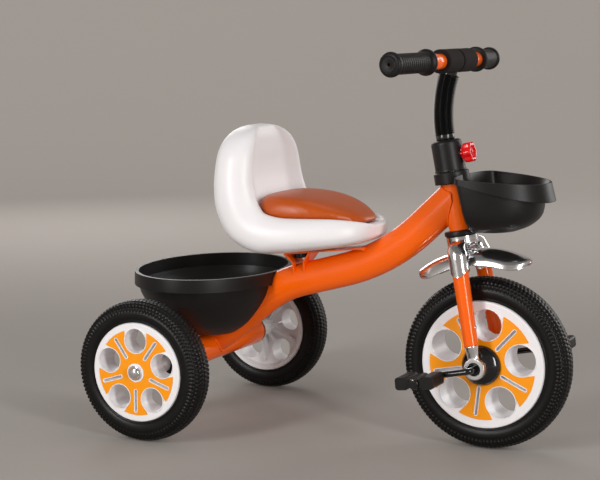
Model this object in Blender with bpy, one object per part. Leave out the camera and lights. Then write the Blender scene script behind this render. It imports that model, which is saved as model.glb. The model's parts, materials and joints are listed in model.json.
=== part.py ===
"""A child's pedal tricycle: one bent oval frame tube, pedals on the front wheel, two baskets.

Metres, +X forward, +Y to the rider's left, +Z up. The origin lies on the floor, midway between
the foremost and the rearmost point of the tyres.
"""
import math

import bmesh
import bpy
from mathutils import Matrix, Vector

for leftover in list(bpy.data.objects):
    bpy.data.objects.remove(leftover, do_unlink=True)

# Clearances
TOUCH_GAP = 0.0003
RUNNING_GAP = 0.0003
END_FLOAT = 0.0006

# Wheels
WHEELBASE = 0.459
REAR_TRACK = 0.390
FRONT_TYRE_RADIUS = 0.125
FRONT_TYRE_WIDTH = 0.046
FRONT_RIM_RADIUS = 0.0925
FRONT_RIM_WIDTH = 0.0492
REAR_TYRE_RADIUS = 0.1043
REAR_TYRE_WIDTH = 0.0437
REAR_RIM_RADIUS = 0.073
REAR_RIM_WIDTH = 0.0448
TYRE_SHOULDER = 0.010
TYRE_CROWN_DROP = 0.0030
RIM_BAND = 0.0040
RIM_PLATE = 0.0030
SPOKES = 5
WINDOW_SHARE = 0.245
WINDOW_PLACE = 0.640
WINDOW_WALL = 0.0025
SLOT_INNER = 0.34
SLOT_OUTER = 0.80
SLOT_WIDTH = 0.0050
HUB_WALL = 0.0085
FACE_SHARE = 0.86
FACE_THICKNESS = 0.0008
FACE_MARGIN = 0.0018
SLOT_MARGIN = 0.0036
CUT_OVER = 0.001
SLOT_TO_HUB_CAP = 0.00245
FACE_UNDER_HUB_CAP = 0.004
FRONT_WHEEL_TURN = math.radians(-6.0)

# Rear axle
AXLE_TUBE_DIAMETER = 0.043
AXLE_TUBE_HALF_LENGTH = 0.140
AXLE_TUBE_WALL = 0.0025
AXLE_ROD_DIAMETER = 0.010
PLUG_FLANGE = 0.003
PLUG_DEPTH = 0.016
HUB_PROUD = 0.0015
CAP_NUT_DIAMETER = 0.021
CAP_NUT_DOME = 0.0070
CAP_NUT_SOCKET = 0.0045
CAP_NUT_SKIRT = 0.0025
CAP_NUT_BEVEL = 0.0035
CAP_NUT_CROWN = 0.0010

# Main tube: corners of the bent centreline, ahead of the rear axle and above the floor
MAIN_TUBE_HEIGHT = 0.050
MAIN_TUBE_WIDTH = 0.036
MAIN_TUBE_WALL = 0.002
MAIN_TUBE_REAR = (0.0, 0.1080)
MAIN_TUBE_REAR_SHARE = 0.80
MAIN_TUBE_TAPER = 0.055
MAIN_TUBE_LOW_BEND = (0.1226, 0.2112)
MAIN_TUBE_HIGH_BEND = (0.301, 0.2624)
MAIN_TUBE_LOW_RADIUS = 0.190
MAIN_TUBE_HIGH_RADIUS = 0.300
MAIN_TUBE_TOP_JOINT = 0.2425

# Steering: distances along the steering axis count from the foot of the front axle on it
STEERING_LEAN = math.radians(11.3)
FORK_OFFSET = 0.0071
CROWN_BOTTOM = 0.1720
CROWN_HEIGHT = 0.0150
CROWN_DIAMETER = 0.046
CROWN_ROUND = 0.003
CROWN_BEVEL = 0.001
CROWN_BOSS_RADIUS = 0.010
CROWN_CONE_RADIUS = 0.016
CROWN_CONE_DROP = 0.0025
CROWN_BOSS_GAP = 0.0009
BEARING_DIAMETER = 0.048
BEARING_HEIGHT = 0.0065
HEAD_TUBE_DIAMETER = 0.033
HEAD_TUBE_LENGTH = 0.0680
HEAD_TUBE_WALL = 0.0022
STEERER_DIAMETER = 0.0254
STEERER_WALL = 0.0014
BUSH_DEPTH = 0.012
COLLAR_DIAMETER = 0.044
COLLAR_HEIGHT = 0.0450
COLLAR_CAP = 0.009
COLLAR_ROUND = 0.006
CLAMP_LEVEL = 0.0225
CLAMP_KNOB_DIAMETER = 0.031
CLAMP_KNOB_THICKNESS = 0.0165
CLAMP_STUD_DIAMETER = 0.008
CLAMP_LOBES = 6
CLAMP_KNOB_NECK = 0.003
CLAMP_KNOB_FLARE = 0.004
CLAMP_KNOB_EDGE = 0.006
CLAMP_KNOB_ROUND = 0.003
CLAMP_KNOB_CROWN = 0.0005

# Fork
LEG_TOP_SPREAD = 0.045
LEG_FOOT_SPREAD = 0.052
LEG_TOP_DIAMETER = 0.0240
LEG_FOOT_DIAMETER = 0.0205
LEG_FOOT_LEVEL = 0.034
LEG_TOP_LEVEL = 0.160
SHOULDER_TIP_LEVEL = 0.132
SHOULDER_NOTCH = 0.009
SHOULDER_WALL = 0.0016
SHOULDER_EDGE_GAP = 0.0006
SHOULDER_BEND = ((0.1690, 0.0435, 0.0128), (0.1765, 0.0385, 0.0116), (0.1815, 0.0290, 0.0085))
DROPOUT_DIAMETER = 0.032
DROPOUT_THICKNESS = 0.011
DROPOUT_WAIST = 0.017
DROPOUT_ROUND = 0.002
DROPOUT_NECK = 0.004
DROPOUT_COLLAR = 0.003

# Mudguard over the front tyre
FENDER_RADIUS = 0.166
FENDER_FRONT = math.radians(68.0)
FENDER_REAR = math.radians(131.0)
FENDER_HALF_WIDTH = 0.029
FENDER_SKIRT = 0.021
FENDER_SHEET = 0.0014
FENDER_BOLT_DIAMETER = 0.006
FENDER_BOLT_SEAT = 0.0023
FENDER_BOLT_HEAD = 0.004
FENDER_BOLT_END = 0.001
FENDER_HOLE_REACH = 0.010

# Cranks and pedals
CRANK_ROD_DIAMETER = 0.009
CRANK_LENGTH = 0.066
CRANK_BEND = 0.0065
CRANK_PLANE = 0.0715
CRANK_ANGLE = math.radians(192.5)
CRANK_BUSH_DIAMETER = 0.019
HUB_CAP_HEIGHT = 0.0165
HUB_CAP_EDGE = 0.003
HUB_CAP_SHOULDER = 0.008
HUB_CAP_CROWN = 0.002
PEDAL_LENGTH = 0.042
PEDAL_WIDTH = 0.057
PEDAL_THICKNESS = 0.018
PEDAL_TILT = math.radians(7.0)
PEDAL_TREAD = 0.019
PEDAL_BARREL_DIAMETER = 0.0155
PEDAL_CAP_DIAMETER = 0.015
PEDAL_CAP_THICKNESS = 0.004
PEDAL_CAP_SOCKET = 0.0028
PEDAL_CAP_ROUND = 0.0012
PEDAL_STANDOFF = 0.003
PEDAL_CHAMFER = 0.003
PEDAL_WEB = 0.0055
PEDAL_TREAD_SLOPE = 0.002

# Handlebar
BAR_DIAMETER = 0.022
BAR_WALL = 0.0015
BAR_FROM_FRONT_AXLE = -0.060
BAR_LEVEL = 0.555
BAR_HALF_SPAN = 0.186
BAR_SWEEP = 0.0162
BAR_DROP = 0.0013
BAR_BEND_AT = 0.070
STEM_DIAMETER = 0.022
STEM_WALL = 0.0015
STEM_BOTTOM = 0.2300
STEM_STRAIGHT_TOP = 0.3300
GRIP_LENGTH = 0.094
GRIP_DIAMETER = 0.028
GRIP_FLANGE_DIAMETER = 0.037
GRIP_END_DIAMETER = 0.034
GRIP_FLANGE = 0.005
GRIP_END = 0.006
GRIP_KNOB_LENGTH = 0.003
GRIP_NECK = 0.006
GRIP_FLARE = 0.003
GRIP_LIP = 0.001
GRIP_BEVEL = 0.002
FOAM_DIAMETER = 0.034
FOAM_LENGTH = 0.053
FOAM_GAP = 0.003
HOSE_DIAMETER = 0.030
HOSE_VALLEY_DIAMETER = 0.0265
HOSE_RIBS = 32
HOSE_PITCH = 0.00274
HOSE_CUFF = 0.0075

# Seat: stations of the blow-moulded body, from the front tip round to the top of the back
SEAT_WALL = 0.0028
SEAT_STATIONS = (
    # ahead of the axle, height, half width, thickness, dish, squareness of the outer corners
    (0.2905, 0.3065, 0.018, 0.014, 0.000, 0.0),
    (0.2840, 0.3065, 0.040, 0.024, 0.002, 0.0),
    (0.2680, 0.3050, 0.062, 0.035, 0.008, 0.0),
    (0.2400, 0.3030, 0.080, 0.044, 0.013, 0.0),
    (0.2020, 0.2998, 0.094, 0.050, 0.014, 0.0),
    (0.1650, 0.2970, 0.102, 0.055, 0.014, 0.2),
    (0.1310, 0.2985, 0.105, 0.064, 0.014, 0.5),
    (0.1060, 0.3130, 0.106, 0.070, 0.014, 0.8),
    (0.0910, 0.3400, 0.105, 0.068, 0.014, 1.0),
    (0.0850, 0.3700, 0.103, 0.064, 0.013, 1.0),
    (0.0850, 0.3970, 0.099, 0.061, 0.013, 1.0),
    (0.0870, 0.4240, 0.088, 0.055, 0.011, 1.0),
    (0.0880, 0.4435, 0.062, 0.043, 0.006, 0.8),
    (0.0885, 0.4530, 0.034, 0.026, 0.000, 0.5),
)
SEAT_PAN_STATIONS = (2, 7)
CUSHION_REAR = 0.113
CUSHION_FRONT = 0.278
CUSHION_WIDEST = 0.168
CUSHION_HALF_WIDTH = 0.076
CUSHION_ROOT = 0.304
CUSHION_TOP = 0.358
CUSHION_FALL = 0.038
CUSHION_FALL_POWER = 2.6
CUSHION_SQUARE = 2.8
CUSHION_PROFILE = ((0.95, 0.0), (0.985, 0.22), (1.0, 0.40), (0.975, 0.56), (0.89, 0.74), (0.72, 0.89),
                   (0.46, 0.97), (0.18, 1.0))

# Seat bracket and its hand knob
BRACKET_PLATE = 0.0025
BRACKET_WIDTH = 0.034
BRACKET_REAR = 0.138
BRACKET_FUNNEL = 0.041
BRACKET_FOOT_INSET = 0.013
BRACKET_FRONT = 0.270
BRACKET_NOSE = 0.012
BRACKET_KNEE = 0.0185
BRACKET_DEPTH = 0.036
RUNNER_THICKNESS = 0.0020
RUNNER_REAR = 0.138
RUNNER_FRONT = 0.206
RUNNER_WIDTH = 0.040
SEAT_MOUNT_POINT = 0.165
SEAT_MOUNT_SLOPE = 0.132
SEAT_BOLT_SEAT = 0.0018
SEAT_BOLT_DIAMETER = 0.008
SEAT_KNOB_DIAMETER = 0.025
SEAT_KNOB_HEIGHT = 0.0070
SEAT_KNOB_RIBS = 12
SEAT_KNOB_GROOVE = 0.0012
SEAT_BOLT_HEAD = 0.016
SEAT_BOLT_HEAD_HEIGHT = 0.003
SEAT_BOLT_REACH = 0.020
SEAT_KNOB_FLOOR = 0.002

# Rear basket
REAR_BASKET_AHEAD = 0.0075
REAR_BASKET_HALF_LENGTH = 0.1110
REAR_BASKET_HALF_WIDTH = 0.1510
REAR_BASKET_RIM_LEVEL = 0.2320
REAR_BASKET_BAND = 0.0200
REAR_BASKET_STEP = 0.0050
REAR_BASKET_WALL = 0.0026
REAR_BASKET_LEDGE = 0.0005
CHANNEL_START = 0.012
REAR_BASKET_FLOOR = 0.1300
REAR_BASKET_PROFILE = ((0.30, 0.0), (0.40, 0.06), (0.575, 0.30), (0.79, 0.67), (0.895, 0.84), (1.0, 1.0))

# Front basket
FRONT_BASKET_FROM_AXLE = -0.0205
FRONT_BASKET_REACH = 0.1056
FRONT_BASKET_HALF_WIDTH = 0.0765
FRONT_BASKET_RIM_LEVEL = 0.3937
FRONT_BASKET_SLOPE = -0.060
FRONT_BASKET_POWER = 2.2
FRONT_BASKET_FLOOR = 0.3180
FRONT_BASKET_BACK = 0.0190
FRONT_BASKET_WALL = 0.0026
FRONT_BASKET_LIP_REAR = 0.008
FRONT_BASKET_LIP_FRONT = 0.026
FRONT_BASKET_LIP_FLARE = 0.007
FRONT_BASKET_STEP = 0.006
FRONT_BASKET_PROFILE = ((0.42, 0.62, 0.0), (0.62, 0.78, 0.14), (0.80, 0.90, 0.42), (0.90, 0.96, 1.0))
BASKET_RING_DIAMETER = 0.051
BASKET_RING_HEIGHT = 0.0165
BASKET_BORE_REACH = 0.010

# Facets
RIM_SEGMENTS = 28
SMALL_SEGMENTS = 16
FINE_SEGMENTS = 12
CUSHION_SEGMENTS = 28
WINDOW_SEGMENTS = 8
TUBE_SEGMENTS = 12
STEM_SEGMENTS = 8
BASKET_SEGMENTS = 26

# Places worked out from the sizes above
REAR_X = -(WHEELBASE + FRONT_TYRE_RADIUS - REAR_TYRE_RADIUS) / 2
REAR_AXLE = Vector((REAR_X, 0.0, REAR_TYRE_RADIUS))
FRONT_AXLE = Vector((REAR_X + WHEELBASE, 0.0, FRONT_TYRE_RADIUS))
AXIS_UP = Vector((-math.sin(STEERING_LEAN), 0.0, math.cos(STEERING_LEAN)))
AXIS_FORWARD = Vector((math.cos(STEERING_LEAN), 0.0, math.sin(STEERING_LEAN)))
AXIS_FOOT = FRONT_AXLE - AXIS_FORWARD * FORK_OFFSET
LEFT = Vector((0.0, 1.0, 0.0))
UP = Vector((0.0, 0.0, 1.0))
FORWARD = Vector((1.0, 0.0, 0.0))
SIDES = (("right", -1), ("left", 1))

BEARING_BOTTOM = CROWN_BOTTOM + CROWN_HEIGHT + TOUCH_GAP
HEAD_BOTTOM = BEARING_BOTTOM + BEARING_HEIGHT + TOUCH_GAP
HEAD_TOP = HEAD_BOTTOM + HEAD_TUBE_LENGTH
RING_BOTTOM = HEAD_TOP + TOUCH_GAP
RING_TOP = RING_BOTTOM + BASKET_RING_HEIGHT
COLLAR_BOTTOM = RING_TOP + END_FLOAT
COLLAR_TOP = COLLAR_BOTTOM + COLLAR_HEIGHT
KNOB_LEVEL = COLLAR_BOTTOM + CLAMP_LEVEL
HUB_CAP_RADIUS = FRONT_RIM_RADIUS * SLOT_INNER - SLOT_TO_HUB_CAP
PEDAL_START = CRANK_PLANE + CRANK_ROD_DIAMETER / 2 + PEDAL_STANDOFF


def ahead(distance, height, across=0.0):
    """A point given by its distance ahead of the rear axle and its height."""
    return Vector((REAR_X + distance, across, height))


def by_front_axle(distance, height, across=0.0):
    """A point given by its distance ahead of the front axle and its height."""
    return Vector((FRONT_AXLE.x + distance, across, height))


def on_axis(level, forward=0.0, across=0.0):
    """A point given by its level on the steering axis."""
    return AXIS_FOOT + AXIS_UP * level + AXIS_FORWARD * forward + LEFT * across


def placed(centre, along, upright=None):
    """A frame at centre whose Z runs along a direction and whose Y leans to the upright one."""
    z = along.normalized()
    hint = upright or (UP if abs(z.z) < 0.9 else LEFT)
    x = hint.cross(z).normalized()
    y = z.cross(x)
    frame = Matrix((x, y, z)).transposed().to_4x4()
    frame.translation = centre
    return frame


# Materials
def material(name, colour, roughness, metallic=0.0):
    made = bpy.data.materials.new(name)
    made.use_nodes = True
    shader = made.node_tree.nodes["Principled BSDF"]
    shader.inputs["Base Color"].default_value = (*colour, 1.0)
    shader.inputs["Roughness"].default_value = roughness
    shader.inputs["Metallic"].default_value = metallic
    made.diffuse_color = (*colour, 1.0)
    return made


ORANGE = ((0.90, 0.13, 0.005), 0.22, 0.0)
CHROME = ((0.80, 0.80, 0.82), 0.08, 1.0)
STEEL = ((0.55, 0.55, 0.56), 0.30, 1.0)
WHITE = ((0.85, 0.84, 0.85), 0.35, 0.0)
BLACK_PLASTIC = ((0.018, 0.017, 0.017), 0.45, 0.0)
BLACK_GLOSS = ((0.012, 0.012, 0.013), 0.18, 0.0)
RUBBER = ((0.015, 0.015, 0.016), 0.70, 0.0)
FOAM = ((0.014, 0.013, 0.013), 0.85, 0.0)
FACE = ((0.95, 0.30, 0.01), 0.30, 0.0)
LEATHER = ((0.45, 0.12, 0.03), 0.42, 0.0)
RED = ((0.65, 0.01, 0.01), 0.25, 0.0)


# Shape tools
def finish_object(name, mesh, look, pivot=None, sharp=35.0):
    """Puts a mesh given in world coordinates into the scene, with its origin on the pivot."""
    pivot = pivot or Vector((0.0, 0.0, 0.0))
    mesh.transform(Matrix.Translation(-pivot))
    mesh.shade_smooth()
    mesh.set_sharp_from_angle(angle=math.radians(sharp))
    mesh.materials.append(material(name, *look))
    made = bpy.data.objects.new(name, mesh)
    made.location = pivot
    bpy.context.scene.collection.objects.link(made)
    return made


def mesh_from(bm, name="shape"):
    bmesh.ops.recalc_face_normals(bm, faces=bm.faces)
    mesh = bpy.data.meshes.new(name)
    bm.to_mesh(mesh)
    bm.free()
    return mesh


def lofted(rings, closed=False):
    """A skin over rings of equal count. Open lofts get flat caps, closed ones join end to end."""
    bm = bmesh.new()
    loops = [[bm.verts.new(point) for point in ring] for ring in rings]
    count = len(loops[0])
    pairs = list(zip(loops, loops[1:]))
    if closed:
        pairs.append((loops[-1], loops[0]))
    for low, high in pairs:
        for i in range(count):
            j = (i + 1) % count
            bm.faces.new((low[i], low[j], high[j], high[i]))
    if not closed:
        bm.faces.new(loops[0])
        bm.faces.new(loops[-1])
    return mesh_from(bm)


def turned(profile, frame, segments=SMALL_SEGMENTS):
    """Spins a profile of (radius, height) points about the frame's Z axis."""
    bm = bmesh.new()
    verts = [bm.verts.new((radius, 0.0, height)) for radius, height in profile]
    on_centre = profile[0][0] == 0.0
    edges = [bm.edges.new(pair) for pair in zip(verts, verts[1:])]
    if not on_centre:
        edges.append(bm.edges.new((verts[-1], verts[0])))
    bmesh.ops.spin(bm, geom=verts + edges, cent=(0, 0, 0), axis=(0, 0, 1),
                   angle=math.tau, steps=segments, use_merge=True)
    bmesh.ops.remove_doubles(bm, verts=bm.verts, dist=1e-6)
    # an end disc becomes one flat face
    middle = [vert for vert in bm.verts if vert.co.xy.length < 1e-6]
    bmesh.ops.dissolve_verts(bm, verts=middle)
    bmesh.ops.transform(bm, matrix=frame, verts=bm.verts)
    return mesh_from(bm)


def extruded(outline, depth, frame):
    """Extrudes a flat outline of (x, y) points from the frame's plane along its Z axis."""
    bm = bmesh.new()
    face = bm.faces.new([bm.verts.new((x, y, 0.0)) for x, y in outline])
    grown = bmesh.ops.extrude_face_region(bm, geom=[face])["geom"]
    lifted = [item for item in grown if isinstance(item, bmesh.types.BMVert)]
    bmesh.ops.translate(bm, vec=(0.0, 0.0, depth), verts=lifted)
    bmesh.ops.transform(bm, matrix=frame, verts=bm.verts)
    return mesh_from(bm)


def round_rod(points, radii, segments=TUBE_SEGMENTS, across=1.0):
    """A rod along a path: round, or flattened sideways by the factor across."""
    rings = []
    for i, point in enumerate(points):
        before = points[max(i - 1, 0)]
        after = points[min(i + 1, len(points) - 1)]
        along = (after - before).normalized()
        side = LEFT if abs(along.y) < 0.7 else UP
        normal = along.cross(side).normalized()
        side = normal.cross(along)
        radius = radii[i] if isinstance(radii, (list, tuple)) else radii
        ring = []
        for k in range(segments):
            turn = math.tau * k / segments
            level = normal * (radius * math.cos(turn))
            ring.append(point + level + side * (radius * across * math.sin(turn)))
        rings.append(ring)
    return rings


def pipe(points, radius, bore, segments=TUBE_SEGMENTS, across=1.0, bore_across=1.0):
    """A hollow rod, open at both ends."""
    outer = round_rod(points, radius, segments, across)
    inner = round_rod(points, bore, segments, bore_across)
    return lofted(outer + inner[::-1], closed=True)


def bent_path(corners, radii, steps=4):
    """A path through corners whose bends are arcs of the given radii."""
    path = [corners[0]]
    for i, radius in enumerate(radii, start=1):
        corner = corners[i]
        back = (corners[i - 1] - corner).normalized()
        on = (corners[i + 1] - corner).normalized()
        half = back.angle(on) / 2
        tangent = radius / math.tan(half)
        centre = corner + (back + on).normalized() * (radius / math.sin(half))
        start = corner + back * tangent - centre
        end = corner + on * tangent - centre
        hinge = start.cross(end)
        for k in range(steps + 1):
            path.append(centre + Matrix.Rotation(start.angle(end) * k / steps, 3, hinge) @ start)
    path.append(corners[-1])
    return path


def cut(target, mesh, name="cutter"):
    """Cuts a mesh given in world coordinates out of an object."""
    return combine(target, mesh, "DIFFERENCE", name)


def cut_with(target, guide):
    """Cuts an object that has modifiers of its own out of another one."""
    guide.hide_render = True
    guide.display_type = "WIRE"
    step = target.modifiers.new("hollow", "BOOLEAN")
    step.operation = "DIFFERENCE"
    step.solver = "EXACT"
    step.object = guide


def combine(target, mesh, operation, name="cutter"):
    guide = bpy.data.objects.new(target.name + "_" + name, mesh)
    bpy.context.scene.collection.objects.link(guide)
    guide.hide_render = True
    guide.display_type = "WIRE"
    step = target.modifiers.new(name, "BOOLEAN")
    step.operation = operation
    step.solver = "EXACT"
    step.object = guide
    return guide


def union_of(meshes):
    """One mesh holding several closed shapes that don't touch each other."""
    bm = bmesh.new()
    for mesh in meshes:
        bm.from_mesh(mesh)
    return mesh_from(bm)


def circle(radius, segments, turn=0.0):
    angles = [turn + math.tau * i / segments for i in range(segments)]
    return [(radius * math.cos(angle), radius * math.sin(angle)) for angle in angles]


def cylinder(radius, bottom, top, frame, segments=SMALL_SEGMENTS):
    return turned([(0.0, bottom), (radius, bottom), (radius, top), (0.0, top)], frame, segments)


def ring_profile(outer, inner, bottom, top):
    return [(inner, bottom), (outer, bottom), (outer, top), (inner, top)]


# Wheels
def wheel_frame(centre, side):
    """Z points outboard, Y up, so a pattern reads as it looks from outside."""
    return placed(centre, LEFT * side, UP)


def slot_outline(rim_radius, angle, grow=0.0):
    """A radial slot, seen along the axle."""
    near = SLOT_INNER * rim_radius - grow
    far = SLOT_OUTER * rim_radius + grow
    half = SLOT_WIDTH / 2 + grow
    points = [(near, -half), (far, -half), (far, half), (near, half)]
    spin = Matrix.Rotation(angle, 2)
    return [tuple(spin @ Vector(point)) for point in points]


def spoke_angles(turn):
    return [turn + math.tau * i / SPOKES for i in range(SPOKES)]


def windows(rim_radius, radius, frame, depth, turn):
    place = WINDOW_PLACE * rim_radius
    shapes = []
    for angle in spoke_angles(turn):
        spot = frame @ Matrix.Translation((place * math.cos(angle), place * math.sin(angle), -depth))
        spot = spot @ Matrix.Rotation(angle, 4, "Z")
        shapes.append(cylinder(radius, 0.0, 2 * depth, spot, WINDOW_SEGMENTS))
    return shapes


def rim(name, look, centre, side, rim_radius, width, bore, hub_in, hub_out, turn, both_faces):
    """A moulded wheel: band, face plate or plates, hub barrel and a tube round each window."""
    frame = wheel_frame(centre, side)
    half = width / 2
    made = finish_object(name, cylinder(rim_radius, -half, half, frame, RIM_SEGMENTS), look, centre)
    window = WINDOW_SHARE * rim_radius
    floor = -half + RIM_PLATE if both_faces else -half - RIM_PLATE
    room = cylinder(rim_radius - RIM_BAND, floor, half - RIM_PLATE, frame, RIM_SEGMENTS)
    hollow = finish_object(name + "_hollow", room, look)
    hub = cylinder(bore + HUB_WALL, -hub_in, hub_out, frame, FINE_SEGMENTS)
    tubes = windows(rim_radius, window + WINDOW_WALL, frame, width, turn)
    cut(hollow, union_of(tubes + [hub.copy()]), "window_tubes")
    cut_with(made, hollow)
    combine(made, hub, "UNION", "hub")
    openings = windows(rim_radius, window, frame, width, turn)
    openings.append(cylinder(bore, -2 * width, 2 * width, frame, FINE_SEGMENTS))
    openings += slots(rim_radius, frame, half - RIM_PLATE, RIM_PLATE, turn)
    if both_faces:
        openings += slots(rim_radius, frame, -half, RIM_PLATE, turn)
    cut(made, union_of(openings), "openings")
    return made


def slots(rim_radius, frame, low, depth, turn, grow=0.0):
    """Blocks that cut the radial slots between the windows, through a plate that starts at low."""
    shapes = []
    for angle in spoke_angles(turn + math.pi / SPOKES):
        spot = frame @ Matrix.Translation((0.0, 0.0, low - CUT_OVER))
        shapes.append(extruded(slot_outline(rim_radius, angle, grow), depth + 2 * CUT_OVER, spot))
    return shapes


def tyre(name, centre, side, radius, width, rim_radius):
    frame = wheel_frame(centre, side)
    half = width / 2
    seat = rim_radius + TOUCH_GAP
    crown = radius
    flank = crown - TYRE_SHOULDER
    profile = [(seat, -half), (flank, -half), (crown - TYRE_CROWN_DROP, -half * 0.66), (crown, 0.0),
               (crown - TYRE_CROWN_DROP, half * 0.66), (flank, half), (seat, half)]
    return finish_object(name, turned(profile, frame, RIM_SEGMENTS), RUBBER, centre)


def face_cover(name, centre, side, rim_radius, width, inner, turn):
    """The thin coloured disc on a wheel's face, cut out round the windows and slots."""
    frame = wheel_frame(centre, side)
    low = width / 2 + TOUCH_GAP
    disc = cylinder(FACE_SHARE * rim_radius, low, low + FACE_THICKNESS, frame, RIM_SEGMENTS)
    made = finish_object(name, disc, FACE, centre)
    openings = windows(rim_radius, WINDOW_SHARE * rim_radius + FACE_MARGIN, frame, width, turn)
    openings += slots(rim_radius, frame, low, FACE_THICKNESS, turn, SLOT_MARGIN)
    openings.append(cylinder(inner, 0.0, 2 * width, frame, FINE_SEGMENTS))
    cut(made, union_of(openings), "openings")
    return made


def build_front_wheel():
    turn = math.radians(90.0) + FRONT_WHEEL_TURN
    half = FRONT_RIM_WIDTH / 2
    bore = CRANK_ROD_DIAMETER / 2 + TOUCH_GAP
    inside = half - RIM_PLATE / 2
    rim("front_wheel_rim", WHITE, FRONT_AXLE, -1, FRONT_RIM_RADIUS, FRONT_RIM_WIDTH,
        bore, inside, inside, turn, True)
    tyre("front_tyre", FRONT_AXLE, -1, FRONT_TYRE_RADIUS, FRONT_TYRE_WIDTH, FRONT_RIM_RADIUS)
    cap = HUB_CAP_RADIUS
    for word, side in SIDES:
        # the pattern on the far face mirrors, so that its windows meet those in the rim
        own_turn = turn if side < 0 else math.pi - turn
        face_cover("front_wheel_face_" + word, FRONT_AXLE, side, FRONT_RIM_RADIUS, FRONT_RIM_WIDTH,
                   cap - FACE_UNDER_HUB_CAP, own_turn)
        low = half + FACE_THICKNESS + 2 * TOUCH_GAP
        top = low + HUB_CAP_HEIGHT
        inner = CRANK_ROD_DIAMETER / 2 + TOUCH_GAP
        profile = [(inner, low), (cap, low), (cap, low + HUB_CAP_EDGE), (cap * 0.90, low + HUB_CAP_SHOULDER),
                   (cap * 0.62, top - HUB_CAP_CROWN), (cap * 0.40, top), (inner, top)]
        frame = wheel_frame(FRONT_AXLE, side)
        finish_object("front_hub_cap_" + word, turned(profile, frame), BLACK_GLOSS, FRONT_AXLE)


def build_rear_wheels():
    half = REAR_RIM_WIDTH / 2
    bore = AXLE_ROD_DIAMETER / 2 + RUNNING_GAP
    hub = bore + HUB_WALL
    hub_in = REAR_TRACK / 2 - (AXLE_TUBE_HALF_LENGTH + PLUG_FLANGE + TOUCH_GAP) - END_FLOAT
    hub_out = half + HUB_PROUD
    for word, side in SIDES:
        centre = REAR_AXLE + LEFT * (side * REAR_TRACK / 2)
        turn = math.radians(90.0)
        rim("rear_wheel_rim_" + word, WHITE, centre, side, REAR_RIM_RADIUS, REAR_RIM_WIDTH,
            bore, hub_in, hub_out, turn, False)
        tyre("rear_tyre_" + word, centre, side, REAR_TYRE_RADIUS, REAR_TYRE_WIDTH, REAR_RIM_RADIUS)
        face_cover("rear_wheel_face_" + word, centre, side, REAR_RIM_RADIUS, REAR_RIM_WIDTH,
                   hub + TOUCH_GAP, turn)
        nut_low = hub_out + END_FLOAT
        nut = CAP_NUT_DIAMETER / 2
        rod = AXLE_ROD_DIAMETER / 2 + TOUCH_GAP
        deep = nut_low + CAP_NUT_SOCKET
        nut_top = nut_low + CAP_NUT_DOME
        profile = [(0.0, nut_top), (nut * 0.45, nut_top - CAP_NUT_CROWN),
                   (nut * 0.80, nut_top - CAP_NUT_BEVEL), (nut, nut_low + CAP_NUT_SKIRT), (nut, nut_low),
                   (rod, nut_low), (rod, deep), (0.0, deep)]
        nut_mesh = turned(profile, wheel_frame(centre, side), FINE_SEGMENTS)
        finish_object("axle_cap_nut_" + word, nut_mesh, CHROME)


# Frame
def main_tube_path():
    top = on_axis(MAIN_TUBE_TOP_JOINT)
    corner = ahead(*MAIN_TUBE_HIGH_BEND)
    beyond = top + (top - corner).normalized() * HEAD_TUBE_DIAMETER
    corners = [ahead(*MAIN_TUBE_REAR), ahead(*MAIN_TUBE_LOW_BEND), corner, beyond]
    return bent_path(corners, (MAIN_TUBE_LOW_RADIUS, MAIN_TUBE_HIGH_RADIUS))


def main_tube_sections(grow=0.0):
    """The centreline with the tube's half height at each point: it narrows to meet the axle tube."""
    path = main_tube_path()
    start = path[0]
    end_of_taper = start + (path[1] - start).normalized() * MAIN_TUBE_TAPER
    path.insert(1, end_of_taper)
    radius = MAIN_TUBE_HEIGHT / 2 + grow
    radii = [radius * MAIN_TUBE_REAR_SHARE] + [radius] * (len(path) - 1)
    return path, radii


def build_main_tube():
    path, radii = main_tube_sections()
    bores = [radius - MAIN_TUBE_WALL for radius in radii]
    across = MAIN_TUBE_WIDTH / MAIN_TUBE_HEIGHT
    bore_across = (MAIN_TUBE_WIDTH / 2 - MAIN_TUBE_WALL) / (MAIN_TUBE_HEIGHT / 2 - MAIN_TUBE_WALL)
    made = finish_object("main_tube", pipe(path, radii, bores, TUBE_SEGMENTS, across, bore_across), ORANGE)
    # coped to the head tube and to the axle tube, each cut with the stock beyond it
    reach = MAIN_TUBE_HEIGHT
    axis = placed(on_axis(HEAD_BOTTOM), AXIS_UP, LEFT)
    stock = [(-reach, 0.0), (reach, 0.0), (reach, 2 * reach), (-reach, 2 * reach)]
    in_front = placed(on_axis(HEAD_BOTTOM - reach), AXIS_UP, AXIS_FORWARD)
    cut(made, extruded(stock, HEAD_TUBE_LENGTH + 2 * reach, in_front), "front_trim")
    cope = HEAD_TUBE_DIAMETER / 2 + TOUCH_GAP
    cut(made, cylinder(cope, -reach, HEAD_TUBE_LENGTH + reach, axis), "head_cope")
    behind = placed(REAR_AXLE - LEFT * reach, LEFT, FORWARD * -1)
    cut(made, extruded(stock, 2 * reach, behind), "rear_trim")
    axle = placed(REAR_AXLE, LEFT, UP)
    cut(made, cylinder(AXLE_TUBE_DIAMETER / 2 + TOUCH_GAP, -reach, reach, axle), "axle_cope")


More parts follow.
